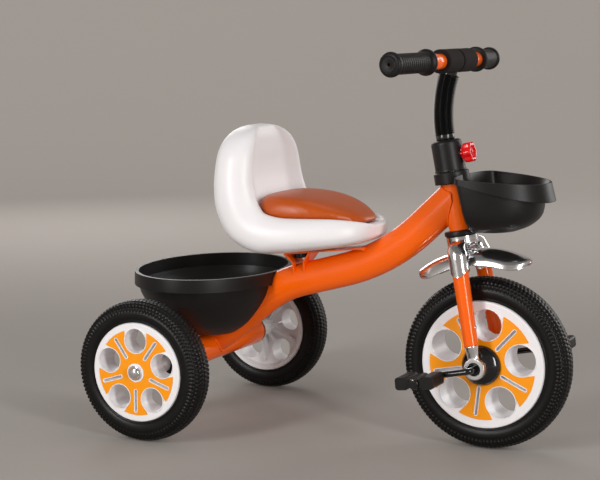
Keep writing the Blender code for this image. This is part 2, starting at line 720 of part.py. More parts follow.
def build_head_tube():
    outer = HEAD_TUBE_DIAMETER / 2
    frame = placed(on_axis(0.0), AXIS_UP, LEFT)
    profile = ring_profile(outer, outer - HEAD_TUBE_WALL, HEAD_BOTTOM, HEAD_TOP)
    finish_object("head_tube", turned(profile, frame), ORANGE)
    inner = STEERER_DIAMETER / 2 + RUNNING_GAP
    seat = outer - HEAD_TUBE_WALL - TOUCH_GAP
    lower = [(inner, BEARING_BOTTOM), (BEARING_DIAMETER / 2, BEARING_BOTTOM),
             (BEARING_DIAMETER / 2, HEAD_BOTTOM - TOUCH_GAP), (seat, HEAD_BOTTOM - TOUCH_GAP),
             (seat, HEAD_BOTTOM + BUSH_DEPTH), (inner, HEAD_BOTTOM + BUSH_DEPTH)]
    finish_object("lower_head_bearing", turned(lower, frame), BLACK_PLASTIC)
    upper = ring_profile(seat, inner, HEAD_TOP - BUSH_DEPTH, RING_TOP)
    finish_object("upper_head_bearing", turned(upper, frame), BLACK_PLASTIC)


def build_rear_axle():
    frame = placed(REAR_AXLE, LEFT, UP)
    outer = AXLE_TUBE_DIAMETER / 2
    inner = outer - AXLE_TUBE_WALL
    half = AXLE_TUBE_HALF_LENGTH
    finish_object("rear_axle_tube", turned(ring_profile(outer, inner, -half, half), frame), ORANGE)
    hub_out = REAR_TRACK / 2 + REAR_RIM_WIDTH / 2 + HUB_PROUD
    tip = hub_out + END_FLOAT + CAP_NUT_SOCKET - TOUCH_GAP
    finish_object("rear_axle_rod", cylinder(AXLE_ROD_DIAMETER / 2, -tip, tip, frame, FINE_SEGMENTS), STEEL)
    bore = AXLE_ROD_DIAMETER / 2 + TOUCH_GAP
    face = half + TOUCH_GAP
    fit = inner - TOUCH_GAP
    for word, side in SIDES:
        profile = [(bore, half - PLUG_DEPTH), (fit, half - PLUG_DEPTH), (fit, face), (outer, face),
                   (outer, face + PLUG_FLANGE), (bore, face + PLUG_FLANGE)]
        plug = turned(profile, wheel_frame(REAR_AXLE, side))
        finish_object("rear_axle_plug_" + word, plug, BLACK_PLASTIC)


# Steering
def build_steerer():
    frame = placed(on_axis(0.0), AXIS_UP, LEFT)
    outer = STEERER_DIAMETER / 2
    inner = outer - STEERER_WALL
    top = COLLAR_TOP - COLLAR_CAP
    tube = turned(ring_profile(outer, inner, CROWN_BOTTOM, top - TOUCH_GAP), frame)
    steerer = finish_object("steerer_tube", tube, STEEL)
    hole = placed(on_axis(KNOB_LEVEL), AXIS_FORWARD, AXIS_UP)
    stud_hole = CLAMP_STUD_DIAMETER / 2 + RUNNING_GAP
    cut(steerer, cylinder(stud_hole, 0.0, COLLAR_DIAMETER, hole, 12), "stud_hole")

    wall = COLLAR_DIAMETER / 2
    grip = outer + TOUCH_GAP
    throat = STEM_DIAMETER / 2 + RUNNING_GAP
    profile = [(grip, COLLAR_BOTTOM), (wall, COLLAR_BOTTOM), (wall, COLLAR_TOP - COLLAR_ROUND),
               (wall - COLLAR_ROUND * 0.3, COLLAR_TOP - COLLAR_ROUND * 0.3),
               (wall - COLLAR_ROUND, COLLAR_TOP), (throat, COLLAR_TOP), (throat, top), (grip, top)]
    collar = finish_object("stem_collar", turned(profile, frame), BLACK_PLASTIC)
    cut(collar, cylinder(stud_hole, 0.0, COLLAR_DIAMETER, hole, 12), "stud_hole")


def build_clamp_knob():
    """A lobed hand knob with its stud, which presses on the stem."""
    frame = placed(on_axis(KNOB_LEVEL), AXIS_FORWARD, AXIS_UP)
    low = COLLAR_DIAMETER / 2 + TOUCH_GAP
    radius = CLAMP_KNOB_DIAMETER / 2
    outline = []
    steps = CLAMP_LOBES * 3
    for i in range(steps):
        turn = math.tau * i / steps
        reach = radius * (0.94 + 0.06 * math.cos(CLAMP_LOBES * turn))
        outline.append((reach * math.cos(turn), reach * math.sin(turn)))

    def ring(share, height):
        return [frame @ Vector((x * share, y * share, height)) for x, y in outline]

    top = low + CLAMP_KNOB_THICKNESS
    rings = [ring(0.62, low), ring(0.62, low + CLAMP_KNOB_NECK), ring(0.97, low + CLAMP_KNOB_FLARE),
             ring(1.0, low + CLAMP_KNOB_EDGE), ring(1.0, top - CLAMP_KNOB_ROUND),
             ring(0.90, top - CLAMP_KNOB_CROWN), ring(0.70, top)]
    knob = finish_object("clamp_knob", lofted(rings), RED, on_axis(KNOB_LEVEL))
    stud_start = STEM_DIAMETER / 2 + RUNNING_GAP
    stud = cylinder(CLAMP_STUD_DIAMETER / 2, stud_start, low + CLAMP_KNOB_EDGE, frame, 12)
    combine(knob, stud, "UNION", "stud")


def leg_point(level, side):
    share = (level - LEG_FOOT_LEVEL) / (LEG_TOP_LEVEL - LEG_FOOT_LEVEL)
    spread = LEG_FOOT_SPREAD + (LEG_TOP_SPREAD - LEG_FOOT_SPREAD) * share
    return on_axis(level, FORK_OFFSET, side * spread)


def leg_radius(level):
    share = (level - LEG_FOOT_LEVEL) / (LEG_TOP_LEVEL - LEG_FOOT_LEVEL)
    return (LEG_FOOT_DIAMETER + (LEG_TOP_DIAMETER - LEG_FOOT_DIAMETER) * share) / 2


def level_ring(centre, long, wide, drop=0.0):
    """An oval ring square to the steering axis. Its outboard and inboard points can hang lower."""
    ring = []
    for x, y in circle(1.0, TUBE_SEGMENTS):
        ring.append(centre + AXIS_FORWARD * (long * x) + LEFT * (wide * y) - AXIS_UP * (drop * y * y))
    return ring


def build_fork_legs():
    for word, side in SIDES:
        rings = []
        for level in (LEG_FOOT_LEVEL, LEG_TOP_LEVEL):
            rings.append(level_ring(leg_point(level, side), leg_radius(level), leg_radius(level)))
        finish_object("fork_leg_" + word, lofted(rings), ORANGE)
        build_shoulder(word, side)
        build_dropout(word, side)


def build_shoulder(word, side):
    """The bright cap over a leg's top, whose lower edge comes to a point outboard and inboard."""
    edge = SHOULDER_TIP_LEVEL + SHOULDER_NOTCH
    outer = []
    inner = []
    for level, drop in ((edge, SHOULDER_NOTCH), (LEG_TOP_LEVEL + TOUCH_GAP, 0.0)):
        # the notched edge hangs down a leg that spreads, so it clears the leg by more
        reach = leg_radius(level) + TOUCH_GAP + (SHOULDER_EDGE_GAP if drop else 0.0)
        inner.append(level_ring(leg_point(level, side), reach, reach, drop))
        outer.append(level_ring(leg_point(level, side), reach + SHOULDER_WALL, reach + SHOULDER_WALL, drop))
    # from the leg's top the cap leans in to the crown
    bend = []
    for level, spread, reach in SHOULDER_BEND:
        bend.append(level_ring(on_axis(level, FORK_OFFSET * 0.8, side * spread), reach, reach))
    made = finish_object("fork_shoulder_" + word, lofted(inner[::-1] + outer + bend), CHROME)
    seat = placed(on_axis(CROWN_BOTTOM), AXIS_UP, LEFT)
    reach = CROWN_DIAMETER
    cut(made, cylinder(CROWN_DIAMETER / 2 + TOUCH_GAP, -reach, reach, seat), "crown_seat")


def build_dropout(word, side):
    """The bright lower end of a leg: a neck that flattens into an eye round the crank's bush."""
    foot = leg_point(LEG_FOOT_LEVEL, side)
    across = foot.y
    eye = FRONT_AXLE + LEFT * across
    half = DROPOUT_THICKNESS / 2
    radius = DROPOUT_DIAMETER / 2
    frame = placed(eye, LEFT, AXIS_UP)
    bore = CRANK_BUSH_DIAMETER / 2 + TOUCH_GAP
    bevel = DROPOUT_ROUND
    disc = turned([(bore, -half), (radius - bevel, -half), (radius, -half + bevel), (radius, half - bevel),
                   (radius - bevel, half), (bore, half)], frame)
    made = finish_object("fork_end_" + word, disc, CHROME)
    levels = (radius * 0.72, radius + DROPOUT_NECK, LEG_FOOT_LEVEL - DROPOUT_COLLAR,
              LEG_FOOT_LEVEL - TOUCH_GAP)
    sizes = ((DROPOUT_WAIST, DROPOUT_THICKNESS * 0.96), (DROPOUT_WAIST, DROPOUT_THICKNESS * 1.1),
             (LEG_FOOT_DIAMETER * 0.97, LEG_FOOT_DIAMETER * 0.97), (LEG_FOOT_DIAMETER, LEG_FOOT_DIAMETER))
    rings = []
    for level, (long, wide) in zip(levels, sizes):
        centre = on_axis(level, FORK_OFFSET, across)
        rings.append(level_ring(centre, long / 2, wide / 2))
    combine(made, lofted(rings), "UNION", "neck")


def build_crown():
    frame = placed(on_axis(0.0), AXIS_UP, LEFT)
    outer = CROWN_DIAMETER / 2
    inner = STEERER_DIAMETER / 2 + TOUCH_GAP
    boss = FENDER_RADIUS + CROWN_BOSS_GAP
    top = CROWN_BOTTOM + CROWN_HEIGHT
    floor = CROWN_BOTTOM - TOUCH_GAP
    profile = [(0.0, boss), (CROWN_BOSS_RADIUS, boss), (CROWN_CONE_RADIUS, CROWN_BOTTOM - CROWN_CONE_DROP),
               (outer - CROWN_ROUND, CROWN_BOTTOM), (outer, CROWN_BOTTOM + CROWN_ROUND),
               (outer, top - CROWN_BEVEL), (outer - CROWN_BEVEL, top), (inner, top), (inner, floor),
               (0.0, floor)]
    crown = finish_object("fork_crown", turned(profile, frame), CHROME)
    bolt_hole = FENDER_BOLT_DIAMETER / 2 + TOUCH_GAP
    cut(crown, cylinder(bolt_hole, boss - CUT_OVER, CROWN_BOTTOM + CUT_OVER, frame, 12), "bolt_hole")


def fender_section(angle, inset):
    """Points across the mudguard at an angle round the wheel, from one skirt to the other."""
    share = (angle - FENDER_FRONT) / (FENDER_REAR - FENDER_FRONT)
    ends = min(share, 1.0 - share) / 0.16
    taper = 1.0 if ends >= 1.0 else math.sqrt(max(1.0 - (1.0 - ends) ** 2, 0.0)) * 0.8 + 0.2
    points = []
    for k in range(7):
        turn = math.radians(-80.0 + 80.0 * k / 3)
        across = (FENDER_HALF_WIDTH - inset) * taper * math.sin(turn) / math.sin(math.radians(80.0))
        down = FENDER_SKIRT * taper * (1.0 - math.cos(turn)) / (1.0 - math.cos(math.radians(80.0)))
        radius = FENDER_RADIUS - inset - down
        points.append(FRONT_AXLE + Vector((radius * math.cos(angle), across, radius * math.sin(angle))))
    return points


def build_fender():
    rings = []
    steps = 10
    for i in range(steps + 1):
        # stations crowd towards the rounded tips
        share = 0.5 - 0.5 * math.cos(math.pi * i / steps)
        angle = FENDER_FRONT + (FENDER_REAR - FENDER_FRONT) * share
        rings.append(fender_section(angle, 0.0) + fender_section(angle, FENDER_SHEET)[::-1])
    fender = finish_object("front_mudguard", lofted(rings), CHROME)
    frame = placed(on_axis(0.0), AXIS_UP, LEFT)
    hole = FENDER_BOLT_DIAMETER / 2 + TOUCH_GAP
    reach = FENDER_HOLE_REACH
    cut(fender, cylinder(hole, FENDER_RADIUS - reach, FENDER_RADIUS + reach, frame, 12), "bolt_hole")
    head = FENDER_BOLT_DIAMETER
    low = FENDER_RADIUS - FENDER_SHEET - FENDER_BOLT_SEAT
    foot = low - FENDER_BOLT_HEAD
    shank = FENDER_BOLT_DIAMETER / 2
    tip = CROWN_BOTTOM - FENDER_BOLT_END
    profile = [(0.0, foot), (head * 0.8, foot), (head, foot + FENDER_BOLT_HEAD / 2), (head, low),
               (shank, low), (shank, tip), (0.0, tip)]
    finish_object("mudguard_bolt", turned(profile, frame, 12), STEEL)


# Cranks and pedals
def crank_offset(side):
    """The right crank points back at rest and the left one forward."""
    angle = CRANK_ANGLE if side < 0 else CRANK_ANGLE + math.pi
    return Vector((math.cos(angle), 0.0, math.sin(angle))) * CRANK_LENGTH


def pedal_centre(side):
    return FRONT_AXLE + crank_offset(side) + LEFT * (side * (PEDAL_START + PEDAL_LENGTH / 2))


def build_crankshaft():
    """One bent rod: a pin, an arm, the axle through the wheel, the other arm and pin."""
    corners = []
    for side in (-1, 1):
        pin = FRONT_AXLE + crank_offset(side)
        reach = PEDAL_START + PEDAL_LENGTH + END_FLOAT + PEDAL_CAP_SOCKET - TOUCH_GAP
        tip = pin + LEFT * (side * reach)
        outer = [tip, pin + LEFT * (side * CRANK_PLANE), FRONT_AXLE + LEFT * (side * CRANK_PLANE)]
        corners += outer if side < 0 else outer[::-1]
    path = bent_path(corners, (CRANK_BEND,) * 4, 3)
    radius = CRANK_ROD_DIAMETER / 2
    rings = []
    normal = None
    for i, point in enumerate(path):
        along = (path[min(i + 1, len(path) - 1)] - path[max(i - 1, 0)]).normalized()
        normal = (normal or UP)
        normal = (normal - along * normal.dot(along)).normalized()
        side = normal.cross(along)
        rings.append([point + normal * (radius * x) + side * (radius * y) for x, y in circle(1.0, 8)])
    finish_object("crankshaft", lofted(rings), BLACK_GLOSS, FRONT_AXLE)
    for word, side in SIDES:
        frame = wheel_frame(FRONT_AXLE, side)
        bore = radius + RUNNING_GAP
        mid = abs(leg_point(LEG_FOOT_LEVEL, side).y)
        half = DROPOUT_THICKNESS / 2
        outer = CRANK_BUSH_DIAMETER / 2
        profile = ring_profile(outer, bore, mid - half, mid + half)
        finish_object("crank_bush_" + word, turned(profile, frame, FINE_SEGMENTS), BLACK_PLASTIC)


def build_pedals():
    half_wide = PEDAL_WIDTH / 2
    half_thick = PEDAL_THICKNESS / 2
    inner = half_wide - PEDAL_TREAD
    quarter = [(inner, PEDAL_WEB), (inner + PEDAL_TREAD_SLOPE, half_thick),
               (half_wide - PEDAL_CHAMFER, half_thick), (half_wide, half_thick - PEDAL_CHAMFER)]
    outline = quarter + [(x, -y) for x, y in quarter[::-1]]
    outline += [(-x, -y) for x, y in quarter] + [(-x, y) for x, y in quarter[::-1]]
    for word, side in SIDES:
        centre = pedal_centre(side)
        frame = wheel_frame(centre, side) @ Matrix.Rotation(-side * PEDAL_TILT, 4, "Z")
        base = frame @ Matrix.Translation((0.0, 0.0, -PEDAL_LENGTH / 2))
        made = finish_object("pedal_" + word, extruded(outline, PEDAL_LENGTH, base), BLACK_PLASTIC, centre)
        half_long = PEDAL_LENGTH / 2
        barrel = cylinder(PEDAL_BARREL_DIAMETER / 2, -half_long, half_long, frame, FINE_SEGMENTS)
        combine(made, barrel, "UNION", "barrel")
        bore = CRANK_ROD_DIAMETER / 2 + RUNNING_GAP
        cut(made, cylinder(bore, -PEDAL_LENGTH, PEDAL_LENGTH, frame, 12), "bore")
        low = PEDAL_LENGTH / 2 + END_FLOAT
        rod = CRANK_ROD_DIAMETER / 2 + TOUCH_GAP
        cap = PEDAL_CAP_DIAMETER / 2
        deep = low + PEDAL_CAP_SOCKET
        top = low + PEDAL_CAP_THICKNESS
        profile = [(0.0, top), (cap * 0.75, top), (cap, top - PEDAL_CAP_ROUND), (cap, low), (rod, low),
                   (rod, deep), (0.0, deep)]
        finish_object("pedal_cap_" + word, turned(profile, frame, TUBE_SEGMENTS), BLACK_GLOSS, centre)


# Handlebar
def bar_point(across):
    """A point of the handlebar's centreline: straight in the middle, swept back past the bends."""
    out = max(abs(across) - BAR_BEND_AT, 0.0) / (BAR_HALF_SPAN - BAR_BEND_AT)
    return by_front_axle(BAR_FROM_FRONT_AXLE - BAR_SWEEP * out, BAR_LEVEL - BAR_DROP * out, across)


def stem_path(start_level, top_share=1.0, steps=6):
    """Up the steering axis, then on an arc that ends at the handlebar."""
    foot = on_axis(STEM_STRAIGHT_TOP)
    chord = bar_point(0.0) - foot
    lean = chord.dot(AXIS_FORWARD)
    radius = chord.length_squared / (2 * lean)
    sweep = 2 * math.asin(chord.length / (2 * radius))
    centre = foot + AXIS_FORWARD * radius
    points = [on_axis(start_level)] if start_level < STEM_STRAIGHT_TOP else []
    for k in range(steps + 1):
        turn = sweep * top_share * k / steps
        points.append(centre - AXIS_FORWARD * radius * math.cos(turn) + AXIS_UP * radius * math.sin(turn))
    return points


def build_stem():
    outer = STEM_DIAMETER / 2
    tube = pipe(stem_path(STEM_BOTTOM), outer, outer - STEM_WALL, STEM_SEGMENTS)
    stem = finish_object("handlebar_stem", tube, BLACK_GLOSS)
    bar = placed(bar_point(0.0), LEFT, UP)
    reach = BAR_DIAMETER
    cut(stem, cylinder(BAR_DIAMETER / 2 + TOUCH_GAP, -reach, reach, bar), "bar_cope")


def build_hose():
    """The ribbed sleeve over the stem, with a plain cuff at its foot."""
    steps = 60
    path = stem_path(STEM_STRAIGHT_TOP, 1.0, steps)
    start = on_axis(COLLAR_TOP + TOUCH_GAP)
    lengths = [0.0]
    points = [start] + path
    for a, b in zip(points, points[1:]):
        lengths.append(lengths[-1] + (b - a).length)

    def at(distance):
        for i in range(len(points) - 1):
            if lengths[i + 1] >= distance:
                share = (distance - lengths[i]) / (lengths[i + 1] - lengths[i])
                return points[i].lerp(points[i + 1], share)
        return points[-1]

    crest = HOSE_DIAMETER / 2
    valley = HOSE_VALLEY_DIAMETER / 2
    spine = [at(0.0), at(HOSE_CUFF)]
    radii = [valley, valley]
    for i in range(HOSE_RIBS):
        low = HOSE_CUFF + HOSE_PITCH * (i + 0.5)
        spine.append(at(low))
        radii.append(crest)
        spine.append(at(low + HOSE_PITCH / 2))
        radii.append(valley)
    outer = round_rod(spine, radii, STEM_SEGMENTS)
    bore = STEM_DIAMETER / 2 + TOUCH_GAP
    total = HOSE_CUFF + HOSE_PITCH * HOSE_RIBS
    inner = round_rod([at(total * k / 6) for k in range(7)], bore, STEM_SEGMENTS)
    finish_object("stem_hose", lofted(outer + inner[::-1], closed=True), BLACK_PLASTIC)


def build_handlebar():
    stations = (-BAR_HALF_SPAN, -BAR_BEND_AT * 1.15, -BAR_BEND_AT * 0.85)
    path = [bar_point(across) for across in stations]
    path += [bar_point(-across) for across in stations[::-1]]
    outer = BAR_DIAMETER / 2
    finish_object("handlebar", pipe(path, outer, outer - BAR_WALL), ORANGE)
    for word, side in SIDES:
        end = bar_point(side * BAR_HALF_SPAN)
        inward = (bar_point(side * BAR_HALF_SPAN * 0.7) - end).normalized()
        frame = placed(end, inward * -1, UP)
        bore = outer + TOUCH_GAP
        body = GRIP_DIAMETER / 2
        flange = GRIP_FLANGE_DIAMETER / 2
        knob = GRIP_END_DIAMETER / 2
        foot = -GRIP_LENGTH
        profile = [(0.0, GRIP_END), (knob * 0.72, GRIP_END), (knob, GRIP_END * 0.35),
                   (knob, -GRIP_KNOB_LENGTH), (body, -GRIP_NECK), (body, foot + GRIP_FLANGE + GRIP_FLARE),
                   (flange, foot + GRIP_FLANGE),
                   (flange, foot + GRIP_LIP), (flange - GRIP_BEVEL, foot), (bore, foot), (bore, TOUCH_GAP),
                   (0.0, TOUCH_GAP)]
        finish_object("handlebar_grip_" + word, turned(profile, frame), RUBBER)
        low = FOAM_GAP / 2
        foam = pipe([bar_point(side * low), bar_point(side * (low + FOAM_LENGTH))], FOAM_DIAMETER / 2, bore,
                    SMALL_SEGMENTS)
        sleeve = finish_object("handlebar_foam_" + word, foam, FOAM)
        room = round_rod(stem_path(STEM_STRAIGHT_TOP), STEM_DIAMETER / 2 + TOUCH_GAP, STEM_SEGMENTS)
        cut(sleeve, lofted(room), "stem_room")


# Seat
def seat_frames():
    """The seat body's stations as points with their direction and inner normal."""
    spine = [ahead(station[0], station[1]) for station in SEAT_STATIONS]
    frames = []
    for i, point in enumerate(spine):
        before = spine[max(i - 1, 0)]
        after = spine[min(i + 1, len(spine) - 1)]
        along = (after - before).normalized()
        normal = LEFT.cross(along).normalized()
        frames.append((point, along, normal))
    return frames


def seat_section(point, normal, half_width, thickness, dish, square):
    """One closed section: crowned underside, upright flanks, a soft rim and a dished inner face."""
    half = thickness / 2
    right = [(0.0, -half), (0.45, -half * 0.985), (0.72, -half * (0.88 + 0.05 * square)),
             (0.88, -half * (0.70 + 0.14 * square)), (0.97, -half * (0.38 + 0.16 * square)),
             (1.0, -half * 0.05), (0.985, half * 0.36), (0.93, half * 0.70), (0.85, half * 0.93),
             (0.77, half),
             (0.68, half - dish * 0.30), (0.55, half - dish * 0.85), (0.28, half - dish)]
    left = [(-x, y) for x, y in right[::-1] if x > 0.0]
    section = right + [(0.0, half - dish)] + left
    return [point + LEFT * (x * half_width) + normal * y for x, y in section]


def seat_rings(grow=0.0, first=0, last=None, skip=1):
    """The seat body's sections, each grown outward by the same amount."""
    rings = []
    stations = list(zip(seat_frames(), SEAT_STATIONS))[first:last]
    for (point, along, normal), (x, z, width, thick, dish, square) in stations:
        rings.append(seat_section(point, normal, width + grow, thick + 2 * grow, dish, square)[::skip])
    return rings


def build_seat():
    shell = finish_object("seat_shell", lofted(seat_rings()), WHITE, sharp=60.0)
    cut(shell, lofted(seat_rings(-SEAT_WALL, 1, -1, 2)), "hollow")
    hole = SEAT_BOLT_DIAMETER / 2 + TOUCH_GAP
    cut(shell, cylinder(hole, -SEAT_BOLT_REACH, SEAT_WALL * 3, seat_bolt_frame(), 12), "bolt_hole")


def cushion_top(distance):
    """Height of the cushion's ridge, which falls away towards the front."""
    share = (distance - CUSHION_REAR) / (CUSHION_FRONT - CUSHION_REAR)
    return CUSHION_TOP - CUSHION_FALL * max(share, 0.0) ** CUSHION_FALL_POWER


def build_cushion():
    """A plump pad, square behind and pointed in front, whose underside fills the seat's dish."""
    rear = CUSHION_WIDEST - CUSHION_REAR
    front = CUSHION_FRONT - CUSHION_WIDEST
    outline = []
    for c, s in circle(1.0, CUSHION_SEGMENTS):
        if c > 0:
            # the flanks draw in towards the front tip
            outline.append((CUSHION_WIDEST + front * c, CUSHION_HALF_WIDTH * s * (1.0 - 0.12 * c * c)))
        else:
            x = -abs(c) ** (2 / CUSHION_SQUARE)
            y = math.copysign(abs(s) ** (2 / CUSHION_SQUARE), s)
            outline.append((CUSHION_WIDEST + rear * x, CUSHION_HALF_WIDTH * y))
    centre = (CUSHION_REAR + CUSHION_FRONT) / 2
    rings = []
    for share, rise in CUSHION_PROFILE:
        ring = []
        for x, y in outline:
            spot = centre + (x - centre) * share
            z = CUSHION_ROOT + (cushion_top(spot) - CUSHION_ROOT) * rise
            ring.append(ahead(spot, z, y * share))
        rings.append(ring)
    cushion = finish_object("seat_cushion", lofted(rings), LEATHER, sharp=70.0)
    cut(cushion, lofted(seat_rings(2 * TOUCH_GAP)), "seat_dish")


def seat_underside(distance):
    """Height of the seat's underside on the centreline."""
    first, last = SEAT_PAN_STATIONS
    lows = []
    for (point, along, normal), station in list(zip(seat_frames(), SEAT_STATIONS))[first:last]:
        lows.append(point - normal * (station[3] / 2))
    target = REAR_X + distance
    for a, b in zip(lows, lows[1:]):
        if b.x <= target <= a.x:
            return a.z + (b.z - a.z) * (target - a.x) / (b.x - a.x)
    return lows[-1].z


def seat_line(distance, drop=0.0):
    """A point below the straight line that the seat's mounting face follows."""
    near, height = SEAT_MOUNT_POINT, seat_underside(SEAT_MOUNT_POINT)
    return ahead(distance, height - TOUCH_GAP + SEAT_MOUNT_SLOPE * (distance - near) - drop)


def seat_bolt_frame():
    distance = BRACKET_REAR + BRACKET_FUNNEL / 2
    along = seat_line(distance + 0.01) - seat_line(distance)
    return placed(seat_line(distance), along.cross(LEFT), LEFT)


def flat_bar(front, rear, top, thickness, width):
    """A flat bar under the seat, given by its ends and its drop below the seat's mounting line."""
    up = seat_bolt_frame().to_3x3() @ UP
    low = [seat_line(x) - up * (top + thickness) for x in (rear, front)]
    high = [seat_line(x) - up * top for x in (front, rear)]
    rings = []
    for side in (-1, 1):
        rings.append([point + LEFT * (side * width / 2) for point in low + high])
    return lofted(rings)


def build_seat_mount():
    """The welded bracket, the runner, the bolt through the seat and its hand knob."""
    up = seat_bolt_frame().to_3x3() @ UP
    runner_top = TOUCH_GAP
    runner = finish_object("seat_runner", flat_bar(RUNNER_FRONT, RUNNER_REAR, runner_top, RUNNER_THICKNESS,
                                                   RUNNER_WIDTH), BLACK_PLASTIC)
    hole = SEAT_BOLT_DIAMETER / 2 + TOUCH_GAP
    frame = seat_bolt_frame()
    cut(runner, cylinder(hole, -SEAT_BOLT_REACH, SEAT_BOLT_REACH, frame, 12), "bolt_hole")

    top = runner_top + RUNNER_THICKNESS + TOUCH_GAP
    under = top + BRACKET_PLATE
    rear = BRACKET_REAR
    front = BRACKET_REAR + BRACKET_FUNNEL
    plate = BRACKET_PLATE

    def at(distance, drop):
        return seat_line(distance) - up * drop

    # each flange leans inward, then runs down beside the tube
    foot_rear = rear + BRACKET_FOOT_INSET
    foot_front = front - BRACKET_FOOT_INSET
    outline = [at(rear, top), at(BRACKET_FRONT, top), at(BRACKET_FRONT, under + plate),
               at(BRACKET_FRONT - BRACKET_NOSE, under), at(front + plate, under),
               at(foot_front + plate, BRACKET_KNEE), at(foot_front + plate, BRACKET_DEPTH),
               at(foot_front, BRACKET_DEPTH), at(foot_front, BRACKET_KNEE), at(front - plate, under),
               at(rear + plate, under), at(foot_rear, BRACKET_KNEE), at(foot_rear, BRACKET_DEPTH),
               at(foot_rear - plate, BRACKET_DEPTH), at(foot_rear - plate, BRACKET_KNEE),
               at(rear - plate, under)]
    rings = [[point + LEFT * (side * BRACKET_WIDTH / 2) for point in outline] for side in (-1, 1)]
    bracket = finish_object("seat_bracket", lofted(rings), ORANGE)
    cut(bracket, cylinder(hole, -under - plate, SEAT_BOLT_REACH, frame, 12), "bolt_hole")
    path, radii = main_tube_sections(TOUCH_GAP)
    across = (MAIN_TUBE_WIDTH / 2 + TOUCH_GAP) / (MAIN_TUBE_HEIGHT / 2 + TOUCH_GAP)
    cut(bracket, lofted(round_rod(path, radii, TUBE_SEGMENTS, across)), "tube_seat")

    knob_top = -(under + TOUCH_GAP)
    knob_low = knob_top - SEAT_KNOB_HEIGHT
    radius = SEAT_KNOB_DIAMETER / 2
    outline = []
    steps = SEAT_KNOB_RIBS * 2
    for i in range(steps):
        reach = radius if i % 2 else radius - SEAT_KNOB_GROOVE
        turn = math.tau * i / steps
        outline.append((reach * math.cos(turn), reach * math.sin(turn)))
    knob_frame = frame @ Matrix.Translation((0.0, 0.0, knob_low))
    knob = finish_object("seat_knob", extruded(outline, SEAT_KNOB_HEIGHT, knob_frame), BLACK_PLASTIC,
                         knob_frame.translation)
    cut(knob, cylinder(hole, knob_low + SEAT_KNOB_FLOOR, knob_top + SEAT_BOLT_REACH, frame, 12), "bolt_bore")

    stem = SEAT_BOLT_DIAMETER / 2
    inside = SEAT_WALL + SEAT_BOLT_SEAT
    head = SEAT_BOLT_HEAD / 2
    foot = knob_low + SEAT_KNOB_FLOOR + TOUCH_GAP
    top_of_head = inside + SEAT_BOLT_HEAD_HEIGHT
    profile = [(0.0, foot), (stem, foot), (stem, inside), (head, inside), (head, top_of_head),
               (0.0, top_of_head)]
    finish_object("seat_bolt", turned(profile, frame, 12), STEEL)


# Baskets
def tube_channel(grow, start, low):
    """An arch over the main tube, open below, grown by a clearance or by a wall."""
    path, radii = main_tube_sections(grow)
    path = [path[0] - (path[1] - path[0]).normalized() * start] + path
    radii = [radii[0]] + radii
    reach = REAR_X + REAR_BASKET_AHEAD + REAR_BASKET_HALF_LENGTH + MAIN_TUBE_HEIGHT
    count = sum(1 for point in path if point.x < reach)
    across = (MAIN_TUBE_WIDTH / 2 + grow) / (MAIN_TUBE_HEIGHT / 2 + grow)
    quarter = TUBE_SEGMENTS // 4
    shapes = []
    for ring in round_rod(path, radii, TUBE_SEGMENTS, across)[:count]:
        arch = ring[-quarter:] + ring[:quarter + 1]
        mouth = [Vector((corner.x, corner.y, low)) for corner in (arch[-1], arch[0])]
        shapes.append(arch + mouth)
    return lofted(shapes)


def rear_basket_rings(inset):
    """Elliptical rings of the rear basket from its floor up through the rim band."""
    band_low = REAR_BASKET_RIM_LEVEL - REAR_BASKET_BAND
    rings = []

    def ring(length, width, level):
        outline = circle(1.0, BASKET_SEGMENTS)
        rings.append([ahead(REAR_BASKET_AHEAD + length * x, level, width * y) for x, y in outline])

    bowl_length = REAR_BASKET_HALF_LENGTH - REAR_BASKET_STEP
    bowl_width = REAR_BASKET_HALF_WIDTH - REAR_BASKET_STEP
    for share, rise in REAR_BASKET_PROFILE:
        level = REAR_BASKET_FLOOR + inset + (band_low - REAR_BASKET_FLOOR - inset) * rise
        ring(bowl_length * share - inset, bowl_width * share - inset, level)
    ring(REAR_BASKET_HALF_LENGTH - inset, REAR_BASKET_HALF_WIDTH - inset, band_low + REAR_BASKET_LEDGE)
    ring(REAR_BASKET_HALF_LENGTH - inset, REAR_BASKET_HALF_WIDTH - inset, REAR_BASKET_RIM_LEVEL + inset)
    return rings


def build_rear_basket():
    basket = finish_object("rear_basket", lofted(rear_basket_rings(0.0)), BLACK_PLASTIC)
    wall = REAR_BASKET_WALL
    hollow = finish_object("rear_basket_hollow", lofted(rear_basket_rings(wall)), BLACK_PLASTIC)
    low = REAR_BASKET_FLOOR - MAIN_TUBE_HEIGHT
    cut(hollow, tube_channel(TOUCH_GAP + wall, CHANNEL_START + wall, low), "channel_wall")
    cut_with(basket, hollow)
    cut(basket, tube_channel(TOUCH_GAP, CHANNEL_START, low), "channel")


